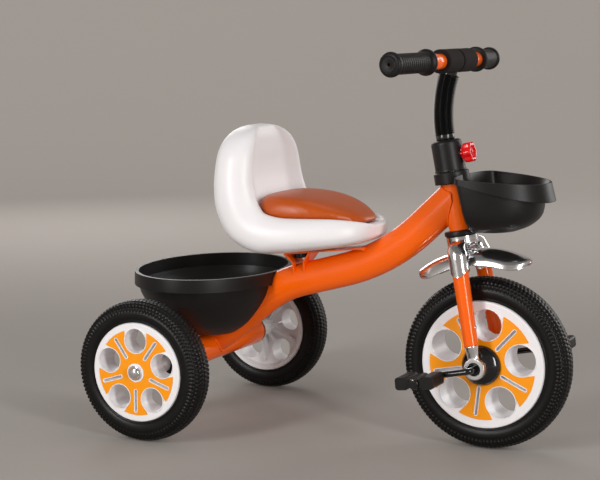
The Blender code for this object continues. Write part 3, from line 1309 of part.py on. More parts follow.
def front_basket_ring(forward, sideways, level, drop_of=None, flare=0.0):
    """One ring of the front basket: rounded in front, flatter behind, leaning with the head tube."""
    ring = []
    steps = BASKET_SEGMENTS
    lean = (FRONT_BASKET_RIM_LEVEL - level) * math.tan(STEERING_LEAN)
    for k in range(steps):
        turn = math.tau * (k + 0.5) / steps
        c = math.cos(turn)
        s = math.sin(turn)
        x = math.copysign(abs(c) ** (2 / FRONT_BASKET_POWER), c)
        y = math.copysign(abs(s) ** (2 / FRONT_BASKET_POWER), s)
        reach = FRONT_BASKET_REACH * forward if c > 0 else FRONT_BASKET_BACK * (0.6 + 0.4 * forward)
        tip = max(x, 0.0)
        drop = drop_of(tip) if drop_of else 0.0
        spread = flare * tip
        px = FRONT_BASKET_FROM_AXLE + lean + (reach + spread) * x
        py = (FRONT_BASKET_HALF_WIDTH * sideways + spread * 0.5) * y
        tilt = FRONT_BASKET_SLOPE * reach * x if drop_of else 0.0
        ring.append(by_front_axle(px, level + tilt - drop, py))
    return ring


def build_front_basket():
    """A thin bowl with a deep turned-down lip, joined to the ring round the head tube's top."""
    wall = FRONT_BASKET_WALL
    rim = FRONT_BASKET_RIM_LEVEL
    bowl_top = rim - FRONT_BASKET_LIP_REAR - FRONT_BASKET_STEP

    def lip(tip):
        return FRONT_BASKET_LIP_REAR + (FRONT_BASKET_LIP_FRONT - FRONT_BASKET_LIP_REAR) * tip

    def thin(tip):
        return wall

    def flat(tip):
        return 0.0

    inner = []
    outer = []
    share_of_wall_x = wall / FRONT_BASKET_REACH
    share_of_wall_y = wall / FRONT_BASKET_HALF_WIDTH
    for forward, sideways, rise in FRONT_BASKET_PROFILE:
        level = FRONT_BASKET_FLOOR + (bowl_top - FRONT_BASKET_FLOOR) * rise
        outer.append(front_basket_ring(forward, sideways, level))
        inner.append(front_basket_ring(forward - share_of_wall_x, sideways - share_of_wall_y,
                                       level + (wall if rise < 0.9 else 0.0)))
    thin_x = 1.0 - share_of_wall_x
    thin_y = 1.0 - share_of_wall_y
    edge = [front_basket_ring(thin_x, thin_y, rim, flat), front_basket_ring(1.0, 1.0, rim, flat),
            front_basket_ring(1.0, 1.0, rim, lip, FRONT_BASKET_LIP_FLARE),
            front_basket_ring(thin_x, thin_y, rim, lip, FRONT_BASKET_LIP_FLARE),
            front_basket_ring(thin_x, thin_y, rim, thin)]
    basket = finish_object("front_basket", lofted(inner + edge + outer[::-1]), BLACK_PLASTIC)
    frame = placed(on_axis(0.0), AXIS_UP, LEFT)
    outer_ring = BASKET_RING_DIAMETER / 2
    combine(basket, cylinder(outer_ring, RING_BOTTOM, RING_TOP, frame), "UNION", "ring")
    bore = HEAD_TUBE_DIAMETER / 2 - HEAD_TUBE_WALL
    reach = BASKET_BORE_REACH
    cut(basket, cylinder(bore, RING_BOTTOM - reach, RING_TOP + reach, frame), "ring_bore")


build_main_tube()
build_head_tube()
build_rear_axle()
build_steerer()
build_clamp_knob()
build_fork_legs()
build_crown()
build_fender()
build_crankshaft()
build_pedals()
build_front_wheel()
build_rear_wheels()
build_stem()
build_hose()
build_handlebar()
build_seat()
build_cushion()
build_seat_mount()
build_rear_basket()
build_front_basket()
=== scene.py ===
import json
import math

import bmesh
import bpy
from mathutils import Matrix, Vector


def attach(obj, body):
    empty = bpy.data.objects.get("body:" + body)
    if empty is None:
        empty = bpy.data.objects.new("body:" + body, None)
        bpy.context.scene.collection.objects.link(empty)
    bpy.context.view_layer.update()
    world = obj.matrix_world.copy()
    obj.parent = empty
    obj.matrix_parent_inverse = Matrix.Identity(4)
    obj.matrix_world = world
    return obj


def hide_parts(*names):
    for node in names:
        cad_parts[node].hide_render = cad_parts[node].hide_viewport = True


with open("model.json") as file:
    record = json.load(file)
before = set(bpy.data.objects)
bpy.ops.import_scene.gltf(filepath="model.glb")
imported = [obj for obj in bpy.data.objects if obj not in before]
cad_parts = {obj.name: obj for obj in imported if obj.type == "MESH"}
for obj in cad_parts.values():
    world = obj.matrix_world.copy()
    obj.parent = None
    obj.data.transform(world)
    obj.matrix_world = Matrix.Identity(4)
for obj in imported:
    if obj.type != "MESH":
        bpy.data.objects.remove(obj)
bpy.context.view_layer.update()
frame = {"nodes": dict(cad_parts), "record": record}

# Sizes shared with the construction, in metres
TOUCH = 0.0003
REAR_X = -0.23985
REAR_TRACK = 0.390
AXLE_TUBE_RADIUS = 0.0215
AXLE_TUBE_HALF = 0.140
LEAN = math.radians(11.3)
FORK_OFFSET = 0.0071
CROWN_BOTTOM = 0.1720
CROWN_TOP = 0.1870
HEAD_RADIUS = 0.0165
HEAD_BOTTOM = 0.1941
HEAD_LENGTH = 0.068
HEAD_TOP = 0.2621
RING_TOP = 0.2789
COLLAR_RADIUS = 0.022
COLLAR_BOTTOM = 0.2795
COLLAR_TOP = 0.3245
KNOB_LEVEL = 0.3020
LEG_LOW = 0.034
LEG_TOP = 0.160
ROD = 0.0045
BAR_RADIUS = 0.011

LEFT = Vector((0.0, 1.0, 0.0))
UP = Vector((0.0, 0.0, 1.0))
FORWARD = Vector((1.0, 0.0, 0.0))
AXIS_UP = Vector((-math.sin(LEAN), 0.0, math.cos(LEAN)))
AXIS_FORWARD = Vector((math.cos(LEAN), 0.0, math.sin(LEAN)))
FRONT_AXLE = Vector((REAR_X + 0.459, 0.0, 0.125))
REAR_AXLE = Vector((REAR_X, 0.0, 0.1043))
AXIS_FOOT = FRONT_AXLE - AXIS_FORWARD * FORK_OFFSET
SIDES = (("right", -1), ("left", 1))


# Places and directions
def ahead(distance, height, across=0.0):
    return Vector((REAR_X + distance, across, height))


def on_axis(level, forward=0.0, across=0.0):
    return AXIS_FOOT + AXIS_UP * level + AXIS_FORWARD * forward + LEFT * across


def placed(centre, along, upright=None):
    """A frame at centre whose Z runs along a direction and whose Y leans to the upright one."""
    z = along.normalized()
    hint = upright or (UP if abs(z.z) < 0.9 else LEFT)
    x = hint.cross(z).normalized()
    made = Matrix((x, z.cross(x), z)).transposed().to_4x4()
    made.translation = centre
    return made


def wheel_frame(centre, side):
    """Z points outboard and Y up."""
    return placed(centre, LEFT * side, UP)


def spun(place, angle, x=0.0, y=0.0, z=0.0):
    """A frame turned about its Z axis and then moved along its new axes."""
    return place @ Matrix.Rotation(angle, 4, "Z") @ Matrix.Translation((x, y, z))


def around(count):
    """The cosine and sine of each step of a full turn."""
    turns = [math.tau * k / count for k in range(count)]
    return [(math.cos(turn), math.sin(turn)) for turn in turns]


STEERING = placed(AXIS_FOOT, AXIS_UP, LEFT)

# Materials
LOOKS = {}
COAT_ROUGHNESS = 0.04
LEAST_ROUGHNESS = 0.02


def set_sockets(node, values):
    for key, value in values.items():
        node.inputs[key].default_value = value


def material_tools(name):
    """A material with its shader, and what adds its nodes and links."""
    made = bpy.data.materials.new(name)
    made.use_nodes = True
    tree = made.node_tree

    def add(kind, values, **settings):
        node = tree.nodes.new("ShaderNode" + kind)
        for key, value in settings.items():
            setattr(node, key, value)
        set_sockets(node, values)
        return node

    def link(start, out, end, into):
        tree.links.new(start.outputs[out], end.inputs[into])

    return made, tree.nodes["Principled BSDF"], add, link


def toned(colour, share):
    return (*[min(c * share, 1.0) for c in colour], 1.0)


def look(name, colour, rough, metallic=0.0, coat=0.0, shade=0.06, patch=0.035, spread=0.08,
         grain=0.0007, depth=0.00004, cells=False, specular=0.5, painted_crease_shade=0.0):
    """A procedural surface: broad random tone and gloss variation with a fine relief of real
    size, and where asked, painted shade that darkens the relief's creases.
    """
    made, shader, add, link = material_tools(name)
    set_sockets(shader, {"Metallic": metallic, "Coat Weight": coat,
                         "Coat Roughness": COAT_ROUGHNESS, "Specular IOR Level": specular})
    place = add("TexCoord", {})
    broad = add("TexNoise", {"Scale": 1.0 / patch, "Detail": 5.0})
    link(place, "Object", broad, "Vector")
    # sockets 6, 7 and 2 of a Mix node are its two colours and its result
    tint = add("Mix", {6: toned(colour, 1.0 - shade), 7: toned(colour, 1.0 + shade)},
               data_type="RGBA")
    link(broad, "Fac", tint, 0)
    gloss = add("MapRange", {"To Min": max(rough - spread, LEAST_ROUGHNESS),
                             "To Max": rough + spread})
    link(broad, "Fac", gloss, "Value")
    link(gloss, "Result", shader, "Roughness")
    if cells:
        height = "Distance"
        fine = add("TexVoronoi", {"Scale": 1.0 / grain}, feature="SMOOTH_F1")
    else:
        height = "Fac"
        fine = add("TexNoise", {"Scale": 1.0 / grain, "Detail": 3.0})
    link(place, "Object", fine, "Vector")
    relief = add("Bump", {"Strength": 1.0, "Distance": depth}, invert=cells)
    link(fine, height, relief, "Height")
    link(relief, "Normal", shader, "Normal")
    # painted shade: the colour darkens towards 0.35 of itself in the creases of the fine relief,
    # where shade would fall
    if painted_crease_shade:
        dark = add("MapRange", {"From Min": 0.35, "From Max": 0.75, "To Min": 0.0,
                                "To Max": painted_crease_shade})
        link(fine, height, dark, "Value")
        mix = add("Mix", {7: toned(colour, 0.35)}, data_type="RGBA")
        link(dark, "Result", mix, 0)
        link(tint, 2, mix, 6)
        tint = mix
    link(tint, 2, shader, "Base Color")
    LOOKS[name] = made


look("frame_paint", (0.97, 0.128, 0.0010), 0.20, coat=0.20, shade=0.04, spread=0.04,
     depth=0.00001, grain=0.0015, specular=0.35)
look("chrome", (0.80, 0.80, 0.81), 0.17, metallic=1.0, shade=0.05, spread=0.05,
     depth=0.000006, grain=0.003)
look("steel", (0.50, 0.50, 0.51), 0.30, metallic=1.0, shade=0.12, spread=0.10, depth=0.00002)
look("white_plastic", (0.86, 0.84, 0.85), 0.36, shade=0.015, spread=0.05, depth=0.00001,
     grain=0.0012, specular=0.4)
look("black_plastic", (0.0085, 0.0076, 0.0074), 0.40, shade=0.12, spread=0.06, depth=0.00004,
     grain=0.0006, specular=0.26)
look("black_gloss", (0.006, 0.006, 0.0065), 0.14, coat=0.4, shade=0.15, spread=0.05,
     depth=0.000008, grain=0.002, specular=0.4)
look("satin", (0.86, 0.86, 0.87), 0.27, metallic=1.0, shade=0.03, spread=0.05,
     depth=0.000008, grain=0.002)
look("hose", (0.005, 0.005, 0.005), 0.24, coat=0.2, shade=0.1, spread=0.04, depth=0.00001,
     grain=0.0012)
look("tyre", (0.0048, 0.0042, 0.0040), 0.36, shade=0.2, spread=0.07, depth=0.00004,
     grain=0.0008, specular=0.21)
look("grip_rubber", (0.007, 0.0062, 0.0060), 0.46, shade=0.15, spread=0.07, depth=0.00005,
     grain=0.0006, specular=0.24)
look("foam", (0.015, 0.0115, 0.011), 0.85, shade=0.2, spread=0.06, depth=0.00025,
     grain=0.0010, cells=True, specular=0.16)
look("face_orange", (1.0, 0.330, 0.002), 0.34, coat=0.10, shade=0.03, spread=0.05,
     depth=0.00001, grain=0.0012, specular=0.3)
# painted shade darkens the leather grain's creases
look("cushion_leather", (0.49, 0.078, 0.0030), 0.36, shade=0.08, patch=0.05, spread=0.06,
     depth=0.00013, grain=0.0014, cells=True, painted_crease_shade=0.20, specular=0.45)
look("red_plastic", (0.74, 0.008, 0.010), 0.22, coat=0.3, shade=0.05, spread=0.05,
     depth=0.00001, grain=0.0012, specular=0.4)


# Shape tools
def mesh_from(bm):
    bmesh.ops.recalc_face_normals(bm, faces=bm.faces)
    mesh = bpy.data.meshes.new("shape")
    bm.to_mesh(mesh)
    bm.free()
    return mesh


def lofted(rings, closed=False, caps=(0, -1)):
    """A skin over rings of equal count. Open lofts get flat caps, closed ones join end to end."""
    bm = bmesh.new()
    loops = [[bm.verts.new(point) for point in ring] for ring in rings]
    count = len(loops[0])
    for low, high in zip(loops, loops[1:] + (loops[:1] if closed else [])):
        for i in range(count):
            j = (i + 1) % count
            bm.faces.new((low[i], low[j], high[j], high[i]))
    for cap in () if closed else caps:
        bm.faces.new(loops[cap])
    return mesh_from(bm)


def spline(a, b, c, d, t):
    return 0.5 * (2.0 * b + (c - a) * t + (2.0 * a - 5.0 * b + 4.0 * c - d) * t * t
                  + (3.0 * b - a - 3.0 * c + d) * t ** 3)


def smoothed(points, steps, closed=False):
    """Points on a smooth curve through the given ones, which may be vectors or tuples."""
    count = len(points)
    values = [Vector(p) if isinstance(p, tuple) else p for p in points]
    made = []
    for i in range(count if closed else count - 1):
        spots = range(i - 1, i + 3)
        if closed:
            near = [values[k % count] for k in spots]
        else:
            near = [values[min(max(k, 0), count - 1)] for k in spots]
        made += [spline(*near, k / steps) for k in range(steps)]
    return made if closed else made + [values[-1]]


def smooth_rings(rings, steps, across=1):
    """Rings made finer along the loft, and round each ring too."""
    if across > 1:
        rings = [smoothed(ring, across, True) for ring in rings]
    columns = [smoothed([ring[i] for ring in rings], steps) for i in range(len(rings[0]))]
    return [[column[k] for column in columns] for k in range(len(columns[0]))]


def lifted(level, points, radius=1.0):
    """Profile points from shares of a radius and heights over a level."""
    return [(radius * share, level + height) for share, height in points]


def turned_rings(profile, place, segments):
    return [[place @ Vector((radius * c, radius * s, height)) for c, s in around(segments)]
            for radius, height in profile if radius > 0.0]


def turned(profile, place, segments=64):
    """Spins a profile of (radius, height) points about a frame's Z axis. It has a bore where
    the first point is off the axis."""
    return lofted(turned_rings(profile, place, segments), profile[0][0] > 0.0)


def extruded(outline, depth, place):
    return lofted([[place @ Vector((x, y, z)) for x, y in outline] for z in (0.0, depth)])


def cylinder(radius, bottom, top, place, segments=64):
    return turned([(0.0, bottom), (radius, bottom), (radius, top), (0.0, top)], place, segments)


def headings(points, closed=False):
    """The direction of a path at each of its points."""
    count = len(points)
    made = []
    for i in range(count):
        before = points[i - 1] if closed or i else points[0]
        after = points[(i + 1) % count] if closed else points[min(i + 1, count - 1)]
        made.append((after - before).normalized())
    return made


def distances(points):
    """How far along a path each of its points lies."""
    made = [0.0]
    for a, b in zip(points, points[1:]):
        made.append(made[-1] + (b - a).length)
    return made


def oval(centre, first, second, long, wide, segments):
    return [centre + first * (long * c) + second * (wide * s) for c, s in around(segments)]


def rod_rings(points, radii, segments=48, across=1.0):
    """Rings of a rod along a path, flattened sideways by the factor across."""
    rings = []
    for point, along, radius in zip(points, headings(points), listed(radii, points)):
        side = LEFT if abs(along.y) < 0.7 else UP
        normal = along.cross(side).normalized()
        rings.append(oval(point, normal, normal.cross(along), radius, radius * across, segments))
    return rings


def carried_rings(points, radii, segments=24, closed=False):
    """Rings of a round rod whose sections don't twist from one to the next."""
    rings = []
    normal = None
    for point, along, radius in zip(points, headings(points, closed), listed(radii, points)):
        hint = normal or (UP if abs(along.z) < 0.9 else FORWARD)
        normal = (hint - along * hint.dot(along)).normalized()
        rings.append(oval(point, normal, normal.cross(along), radius, radius, segments))
    return rings


def listed(value, points):
    return value if isinstance(value, list) else [value] * len(points)


def bent_path(corners, radii, steps=14):
    """A path through corners whose bends are arcs of the given radii."""
    path = [corners[0]]
    for i, radius in enumerate(radii, start=1):
        corner = corners[i]
        back = (corners[i - 1] - corner).normalized()
        on = (corners[i + 1] - corner).normalized()
        half = back.angle(on) / 2
        centre = corner + (back + on).normalized() * (radius / math.sin(half))
        start = corner + back * (radius / math.tan(half)) - centre
        end = corner + on * (radius / math.tan(half)) - centre
        hinge = start.cross(end)
        for k in range(steps + 1):
            path.append(centre + Matrix.Rotation(start.angle(end) * k / steps, 3, hinge) @ start)
    path.append(corners[-1])
    return path


def several(meshes):
    """One mesh holding several shapes."""
    bm = bmesh.new()
    for mesh in meshes:
        bm.from_mesh(mesh)
    return mesh_from(bm)


def added(name, data):
    made = bpy.data.objects.new(name, data)
    bpy.context.scene.collection.objects.link(made)
    return made


def modified(thing, name, kind, **settings):
    step = thing.modifiers.new(name, kind)
    for key, value in settings.items():
        setattr(step, key, value)
    return step


def evaluated(thing):
    graph = bpy.context.evaluated_depsgraph_get()
    return bpy.data.meshes.new_from_object(thing.evaluated_get(graph))


def shaped(mesh, joins=(), cuts=(), bevel=0.0, segments=2, angle=35.0, voxel=0.0, soften=0):
    """The mesh after its joins, cuts, remesh and rounded edges."""
    work = added("work", mesh)
    helpers = [work]
    for operation, shapes in (("UNION", joins), ("DIFFERENCE", cuts)):
        for shape in shapes:
            helpers.append(added("helper", shape))
            modified(work, "step", "BOOLEAN", operation=operation, solver="EXACT",
                     object=helpers[-1])
    if voxel:
        modified(work, "remesh", "REMESH", mode="VOXEL", voxel_size=voxel)
    if soften:
        modified(work, "soften", "SMOOTH", factor=0.5, iterations=soften)
    if bevel:
        modified(work, "round", "BEVEL", width=bevel, segments=segments, limit_method="ANGLE",
                 angle_limit=math.radians(angle), miter_outer="MITER_ARC")
    bpy.context.view_layer.update()
    made = evaluated(work)
    for helper in helpers:
        bpy.data.objects.remove(helper)
    return made


def piece(name, mesh, body, slot, *nodes, sharp=38.0, weighted=True, paint=None):
    """Puts a shape given in the row frame on its body, in place of the nodes it stands for."""
    mesh.shade_smooth()
    mesh.set_sharp_from_angle(angle=math.radians(sharp))
    mesh.materials.clear()
    mesh.materials.append(LOOKS[paint or slot])
    made = added(name, mesh)
    if weighted:
        modified(made, "even_shading", "WEIGHTED_NORMAL", keep_sharp=True)
    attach(made, body)
    if nodes:
        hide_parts(*nodes)
    return made


# For pieces that are smooth all over
SMOOTH = {"sharp": 180.0, "weighted": False}


# Wheels
FRONT_WHEEL = {"tyre": 0.125, "tyre_width": 0.046, "rim": 0.0925, "width": 0.0492, "lugs": 124}
REAR_WHEEL = {"tyre": 0.1043, "tyre_width": 0.0437, "rim": 0.073, "width": 0.0448, "lugs": 104}
TREAD_ROWS = 5
TREAD_START = 0.0140
TREAD_DEPTH = 0.0008
TREAD_SHOULDER = 0.0007
LUG_STEPS = 6
RIM_BAND = 0.0040
RIM_PLATE = 0.0030
DISH_LIP = 0.0062
DISH_DEPTH = 0.0170
SPOKES = 5
WINDOW_SHARE = 0.245
WINDOW_PLACE = 0.640
WINDOW_WALL = 0.0025
SLOT_INNER = 0.34
SLOT_OUTER = 0.80
SLOT_HALF = 0.0020
SLOT_DEPTH = 0.0080
SLOT_WALL = 0.0015
BORDER = 0.0010
BORDER_RISE = 0.0011
HUB_WALL = 0.0085
HUB_CAP_RADIUS = 0.029
REAR_BORE = 0.0053
CAP_NUT_RADIUS = 0.0105
CAP_NUT_HEIGHT = 0.0070
FACE_SHARE = 0.86
FACE_THICKNESS = 0.0008
FRONT_TURN = math.radians(84.0)
REAR_TURN = math.radians(90.0)
WINDOW_SEGMENTS = 48
RIM_SEGMENTS = 112


def plateau(x, edge):
    """1 in the middle of each unit step and 0 at its ends, over an edge of that width."""
    near = min(x % 1.0, 1.0 - x % 1.0) / edge
    near = min(max(near - 0.5, 0.0), 1.0)
    return near * near * (3.0 - 2.0 * near)


def tyre_mesh(place, size):
    """A foam tyre: a smooth ring beside the rim, then rows of small blocks over the shoulders."""
    radius, half, lugs = size["tyre"], size["tyre_width"] / 2, size["lugs"]
    seat = size["rim"] + TOUCH
    side = [(seat, half * 0.90), (seat + 0.0022, half * 0.955), (seat + 0.0034, half * 0.925),
            (seat + 0.0060, half * 0.965), (seat + 0.0105, half * 0.995),
            (radius - 0.0115, half * 0.985), (radius - 0.0065, half * 0.89),
            (radius - 0.0027, half * 0.66), (radius - 0.0006, half * 0.33)]
    profile = smoothed(side + [(radius, 0.0)] + [(r, -z) for r, z in side[::-1]], 5)
    tread_low = seat + TREAD_START
    row = half * 2 / TREAD_ROWS
    lengths = distances(profile)
    middle = lengths[len(profile) // 2]
    circle = around(lugs * LUG_STEPS)
    rings = []
    for point, along, length in zip(profile, headings(profile), lengths):
        outward = Vector((along.y, -along.x))
        if outward.x * (point.x - seat) < 0 or (abs(outward.x) < 0.1 and outward.y * point.y < 0):
            outward = -outward
        reach = (length - middle) / row
        tread = min(max((point.x - tread_low) / 0.003, 0.0), 1.0)
        tread *= TREAD_DEPTH + TREAD_SHOULDER * min(abs(reach) / 1.6, 1.0)
        on_row = plateau(reach + 0.5, 0.15)
        shift = 0.5 * (math.floor(reach + 0.5) % 2)
        ring = []
        for k, (c, s) in enumerate(circle):
            sunk = tread * (1.0 - on_row * plateau(k / LUG_STEPS + shift + 0.25, 0.17))
            r = point.x - outward.x * sunk
            ring.append(place @ Vector((r * c, r * s, point.y - outward.y * sunk)))
        rings.append(ring)
    return lofted(rings, True)


def spoke_angles(turn):
    return [turn + math.tau * i / SPOKES for i in range(SPOKES)]


def window_shapes(rim, radius, place, low, high, turn):
    return [cylinder(radius, low, high,
                     place @ Matrix.Translation((WINDOW_PLACE * rim * math.cos(a),
                                                 WINDOW_PLACE * rim * math.sin(a), 0.0))
                     @ Matrix.Rotation(a, 4, "Z"), WINDOW_SEGMENTS) for a in spoke_angles(turn)]


def slot_shapes(rim, place, low, high, turn, grow=0.0):
    """Blocks with round ends along the slots between the windows."""
    half = SLOT_HALF + grow
    outline = []
    ends = ((SLOT_OUTER * rim - SLOT_HALF, -90.0), (SLOT_INNER * rim + SLOT_HALF, 90.0))
    for centre, start in ends:
        for k in range(9):
            bend = math.radians(start + 180.0 * k / 8)
            outline.append((centre + half * math.cos(bend), half * math.sin(bend)))
    return [extruded(outline, high - low, spun(place, a, z=low))
            for a in spoke_angles(turn + math.pi / SPOKES)]


def rim_mesh(size, place, bore, hub_in, hub_out, turn, both_faces):
    """The moulded rim: band, face plates, hub barrel, window tubes, raised borders, slots."""
    radius = size["rim"]
    half = size["width"] / 2
    window = WINDOW_SHARE * radius
    lip = radius - 0.0035
    profile = [(0.0, -half), (lip, -half), (radius - 0.0012, -half + 0.0006),
               (radius, -half + 0.0022), (radius, half - 0.0022),
               (radius - 0.0012, half - 0.0006), (lip, half), (0.0, half)]
    body = turned(profile, place, RIM_SEGMENTS)
    floor = -half + (RIM_PLATE if both_faces else DISH_DEPTH + 0.0015)
    room = cylinder(radius - RIM_BAND, floor, half - RIM_PLATE, place, RIM_SEGMENTS)
    hub = cylinder(bore + HUB_WALL, -hub_in, hub_out, place, 48)
    sides = (1.0, -1.0) if both_faces else (1.0,)

    def windows(grow, low, high):
        return window_shapes(radius, window + grow, place, low, high, turn)

    def slots(grow, side, under, over):
        low, high = sorted((side * (half - under), side * (half + over)))
        return slot_shapes(radius, place, low, high, turn, grow)

    kept = windows(WINDOW_WALL, -half * 2, half * 2) + [hub.copy()]
    openings = windows(0.0, -half * 2, half * 2)
    openings.append(cylinder(bore, -half * 3, half * 3, place, 48))
    raised = []
    for side in sides:
        kept += slots(SLOT_WALL, side, SLOT_DEPTH + SLOT_WALL, 0.001)
        low, high = sorted((side * (half - 0.001), side * (half + BORDER_RISE)))
        raised += windows(BORDER, low, high)
        raised += slots(BORDER, side, 0.001, BORDER_RISE)
        openings += slots(0.0, side, SLOT_DEPTH, 0.003)
    hollows = [shaped(room, cuts=[several(kept)])]
    ribs = []
    if not both_faces:
        # the open back: a wide lip, a cone down to a web, and radial ribs round the hub
        lip = radius - DISH_LIP
        floor = -half + DISH_DEPTH
        dish = [(0.0, -half - 0.003), (lip, -half - 0.003), (lip, -half),
                (lip - 0.0030, -half + 0.0070), (radius * 0.62, floor), (0.0, floor)]
        hollows.append(turned(dish, place, RIM_SEGMENTS))
        near = bore + HUB_WALL - 0.001
        for i in range(2 * SPOKES):
            far, thick = (radius * 0.80, 0.0022) if i % 2 else (radius * 0.42, 0.0014)
            rib = [(near, -0.0010), (far, -thick), (far, thick), (near, 0.0010)]
            spot = spun(place, turn + math.pi * i / SPOKES, z=-half + DISH_DEPTH * 0.25)
            ribs.append(extruded(rib, DISH_DEPTH * 0.80, spot))
    return shaped(shaped(body, cuts=hollows), joins=[hub, several(raised)] + ribs,
                  cuts=[several(openings)], bevel=0.0007, angle=40.0)


def face_mesh(size, place, inner, turn):
    """The coloured face between the raised borders."""
    radius = size["rim"]
    low = size["width"] / 2 + 0.00005
    disc = cylinder(FACE_SHARE * radius, low, low + FACE_THICKNESS, place, RIM_SEGMENTS)
    clear = BORDER + 0.0001
    reach = WINDOW_SHARE * radius + clear
    openings = window_shapes(radius, reach, place, low - 0.01, low + 0.01, turn)
    openings += slot_shapes(radius, place, low - 0.01, low + 0.01, turn, clear)
    openings.append(cylinder(inner, low - 0.01, low + 0.01, place, 48))
    # the face stops short beside each window, out to the rim
    near, far, wide = WINDOW_PLACE * radius + 0.0011, radius, reach - 0.0002
    gap = [(near, -wide), (far, -wide), (far, wide), (near, wide)]
    gaps = [extruded(gap, 0.024, spun(place, a, z=low - 0.012)) for a in spoke_angles(turn)]
    return shaped(disc, cuts=[several(openings), several(gaps)], bevel=0.00025, angle=40.0)


HUB_DOME = ((1.0, 0.0026), (0.965, 0.0052), (0.88, 0.0086), (0.70, 0.0125), (0.52, 0.0148))
HUB_TOP = ((0.50, 0.0160), (0.46, 0.0165), (0.30, 0.0165))
NUT_DOME = ((0.86, 0.0030), (0.74, 0.0049), (0.50, 0.0063), (0.22, 0.0069), (0.03, 0.0070))


def build_front_wheel():
    place = wheel_frame(FRONT_AXLE, -1)
    half = FRONT_WHEEL["width"] / 2
    inside = half - RIM_PLATE / 2
    piece("front_rim",
          rim_mesh(FRONT_WHEEL, place, ROD + TOUCH, inside, inside, FRONT_TURN, True),
          "front_wheel", "white_plastic", "front_wheel_rim")
    piece("front_foam_tyre", tyre_mesh(place, FRONT_WHEEL), "front_wheel", "tyre", "front_tyre",
          **SMOOTH)
    cap, bore = HUB_CAP_RADIUS, ROD + 0.0004
    for word, side in SIDES:
        turn = FRONT_TURN if side < 0 else math.pi - FRONT_TURN
        here = wheel_frame(FRONT_AXLE, side)
        piece("front_face_" + word, face_mesh(FRONT_WHEEL, here, cap - 0.004, turn),
              "front_wheel", "face_orange", "front_wheel_face_" + word)
        low = half + FACE_THICKNESS + 0.0002
        profile = [(bore, low), (cap - 0.0004, low), (cap, low + 0.0006)]
        profile += smoothed(lifted(low, HUB_DOME, cap), 5)
        profile += lifted(low, HUB_TOP, cap) + [(bore, low + 0.0163)]
        piece("front_hub_dome_" + word, turned(profile, here), "front_wheel", "black_gloss",
              "front_hub_cap_" + word, sharp=30.0)


def build_rear_wheels():
    hub_in = REAR_TRACK / 2 - (AXLE_TUBE_HALF + 0.003 + TOUCH) - 0.0006
    hub_out = REAR_WHEEL["width"] / 2 + 0.0015
    for word, side in SIDES:
        here = wheel_frame(REAR_AXLE + LEFT * (side * REAR_TRACK / 2), side)
        body = word + "_rear_wheel"
        piece("rear_rim_" + word,
              rim_mesh(REAR_WHEEL, here, REAR_BORE, hub_in, hub_out, REAR_TURN, False),
              body, "white_plastic", "rear_wheel_rim_" + word)
        piece("rear_foam_tyre_" + word, tyre_mesh(here, REAR_WHEEL), body, "tyre",
              "rear_tyre_" + word, **SMOOTH)
        piece("rear_face_" + word,
              face_mesh(REAR_WHEEL, here, REAR_BORE + HUB_WALL + 0.0002, REAR_TURN),
              body, "face_orange", "rear_wheel_face_" + word)
        low = hub_out + 0.0006
        nut = CAP_NUT_RADIUS
        profile = [(0.0, low), (nut - 0.0006, low), (nut, low + 0.0005), (nut, low + 0.0022),
                   (nut * 0.90, low + 0.0028)]
        profile += smoothed(lifted(low, NUT_DOME, nut), 5) + [(0.0, low + CAP_NUT_HEIGHT)]
        piece("rear_cap_nut_" + word, turned(profile, here, 48), "frame", "chrome",
              "axle_cap_nut_" + word, sharp=30.0)


# Frame tubes
TUBE_HEIGHT = 0.050
TUBE_WIDTH = 0.036
TUBE_TAPER = 0.055
TUBE_REAR_SHARE = 0.80


def main_tube_sections(grow=0.0, steps=14):
    corner = ahead(0.301, 0.2624)
    top = on_axis(0.2425)
    beyond = top + (top - corner).normalized() * 0.033
    corners = [ahead(0.0, 0.1080), ahead(0.1226, 0.2112), corner, beyond]
    path = bent_path(corners, (0.190, 0.300), steps)
    start = path[0]
    path.insert(1, start + (path[1] - start).normalized() * TUBE_TAPER)
    radius = TUBE_HEIGHT / 2 + grow
    return path, [radius * TUBE_REAR_SHARE] + [radius] * (len(path) - 1)


def bead(points, size):
    """A weld bead along a closed line, with the ripple that the torch leaves."""
    fine = smoothed(points, 3, True)
    radii = [size * (1.0 + 0.14 * math.sin(i * 1.9) + 0.07 * math.sin(i * 0.7))
             for i in range(len(fine))]
    return lofted(carried_rings(fine, radii, 10, True), True)


def marched(spot, along, foot, axis, reach):
    """The first place on a line that is that near to an axis, or else its nearest place."""
    step = along.normalized() * 0.0004
    best = None
    for _ in range(400):
        away = spot - foot
        away -= axis * away.dot(axis)
        if best and away.length > best:
            break
        best = away.length
        if best < reach:
            break
        spot = spot + step
    return spot


def pipe(outer, wall, edge, low, high):
    """The profile of a tube whose outer edges are taken off."""
    return [(outer - wall, low), (outer - edge, low), (outer, low + edge), (outer, high - edge),
            (outer - edge, high), (outer - wall, high)]


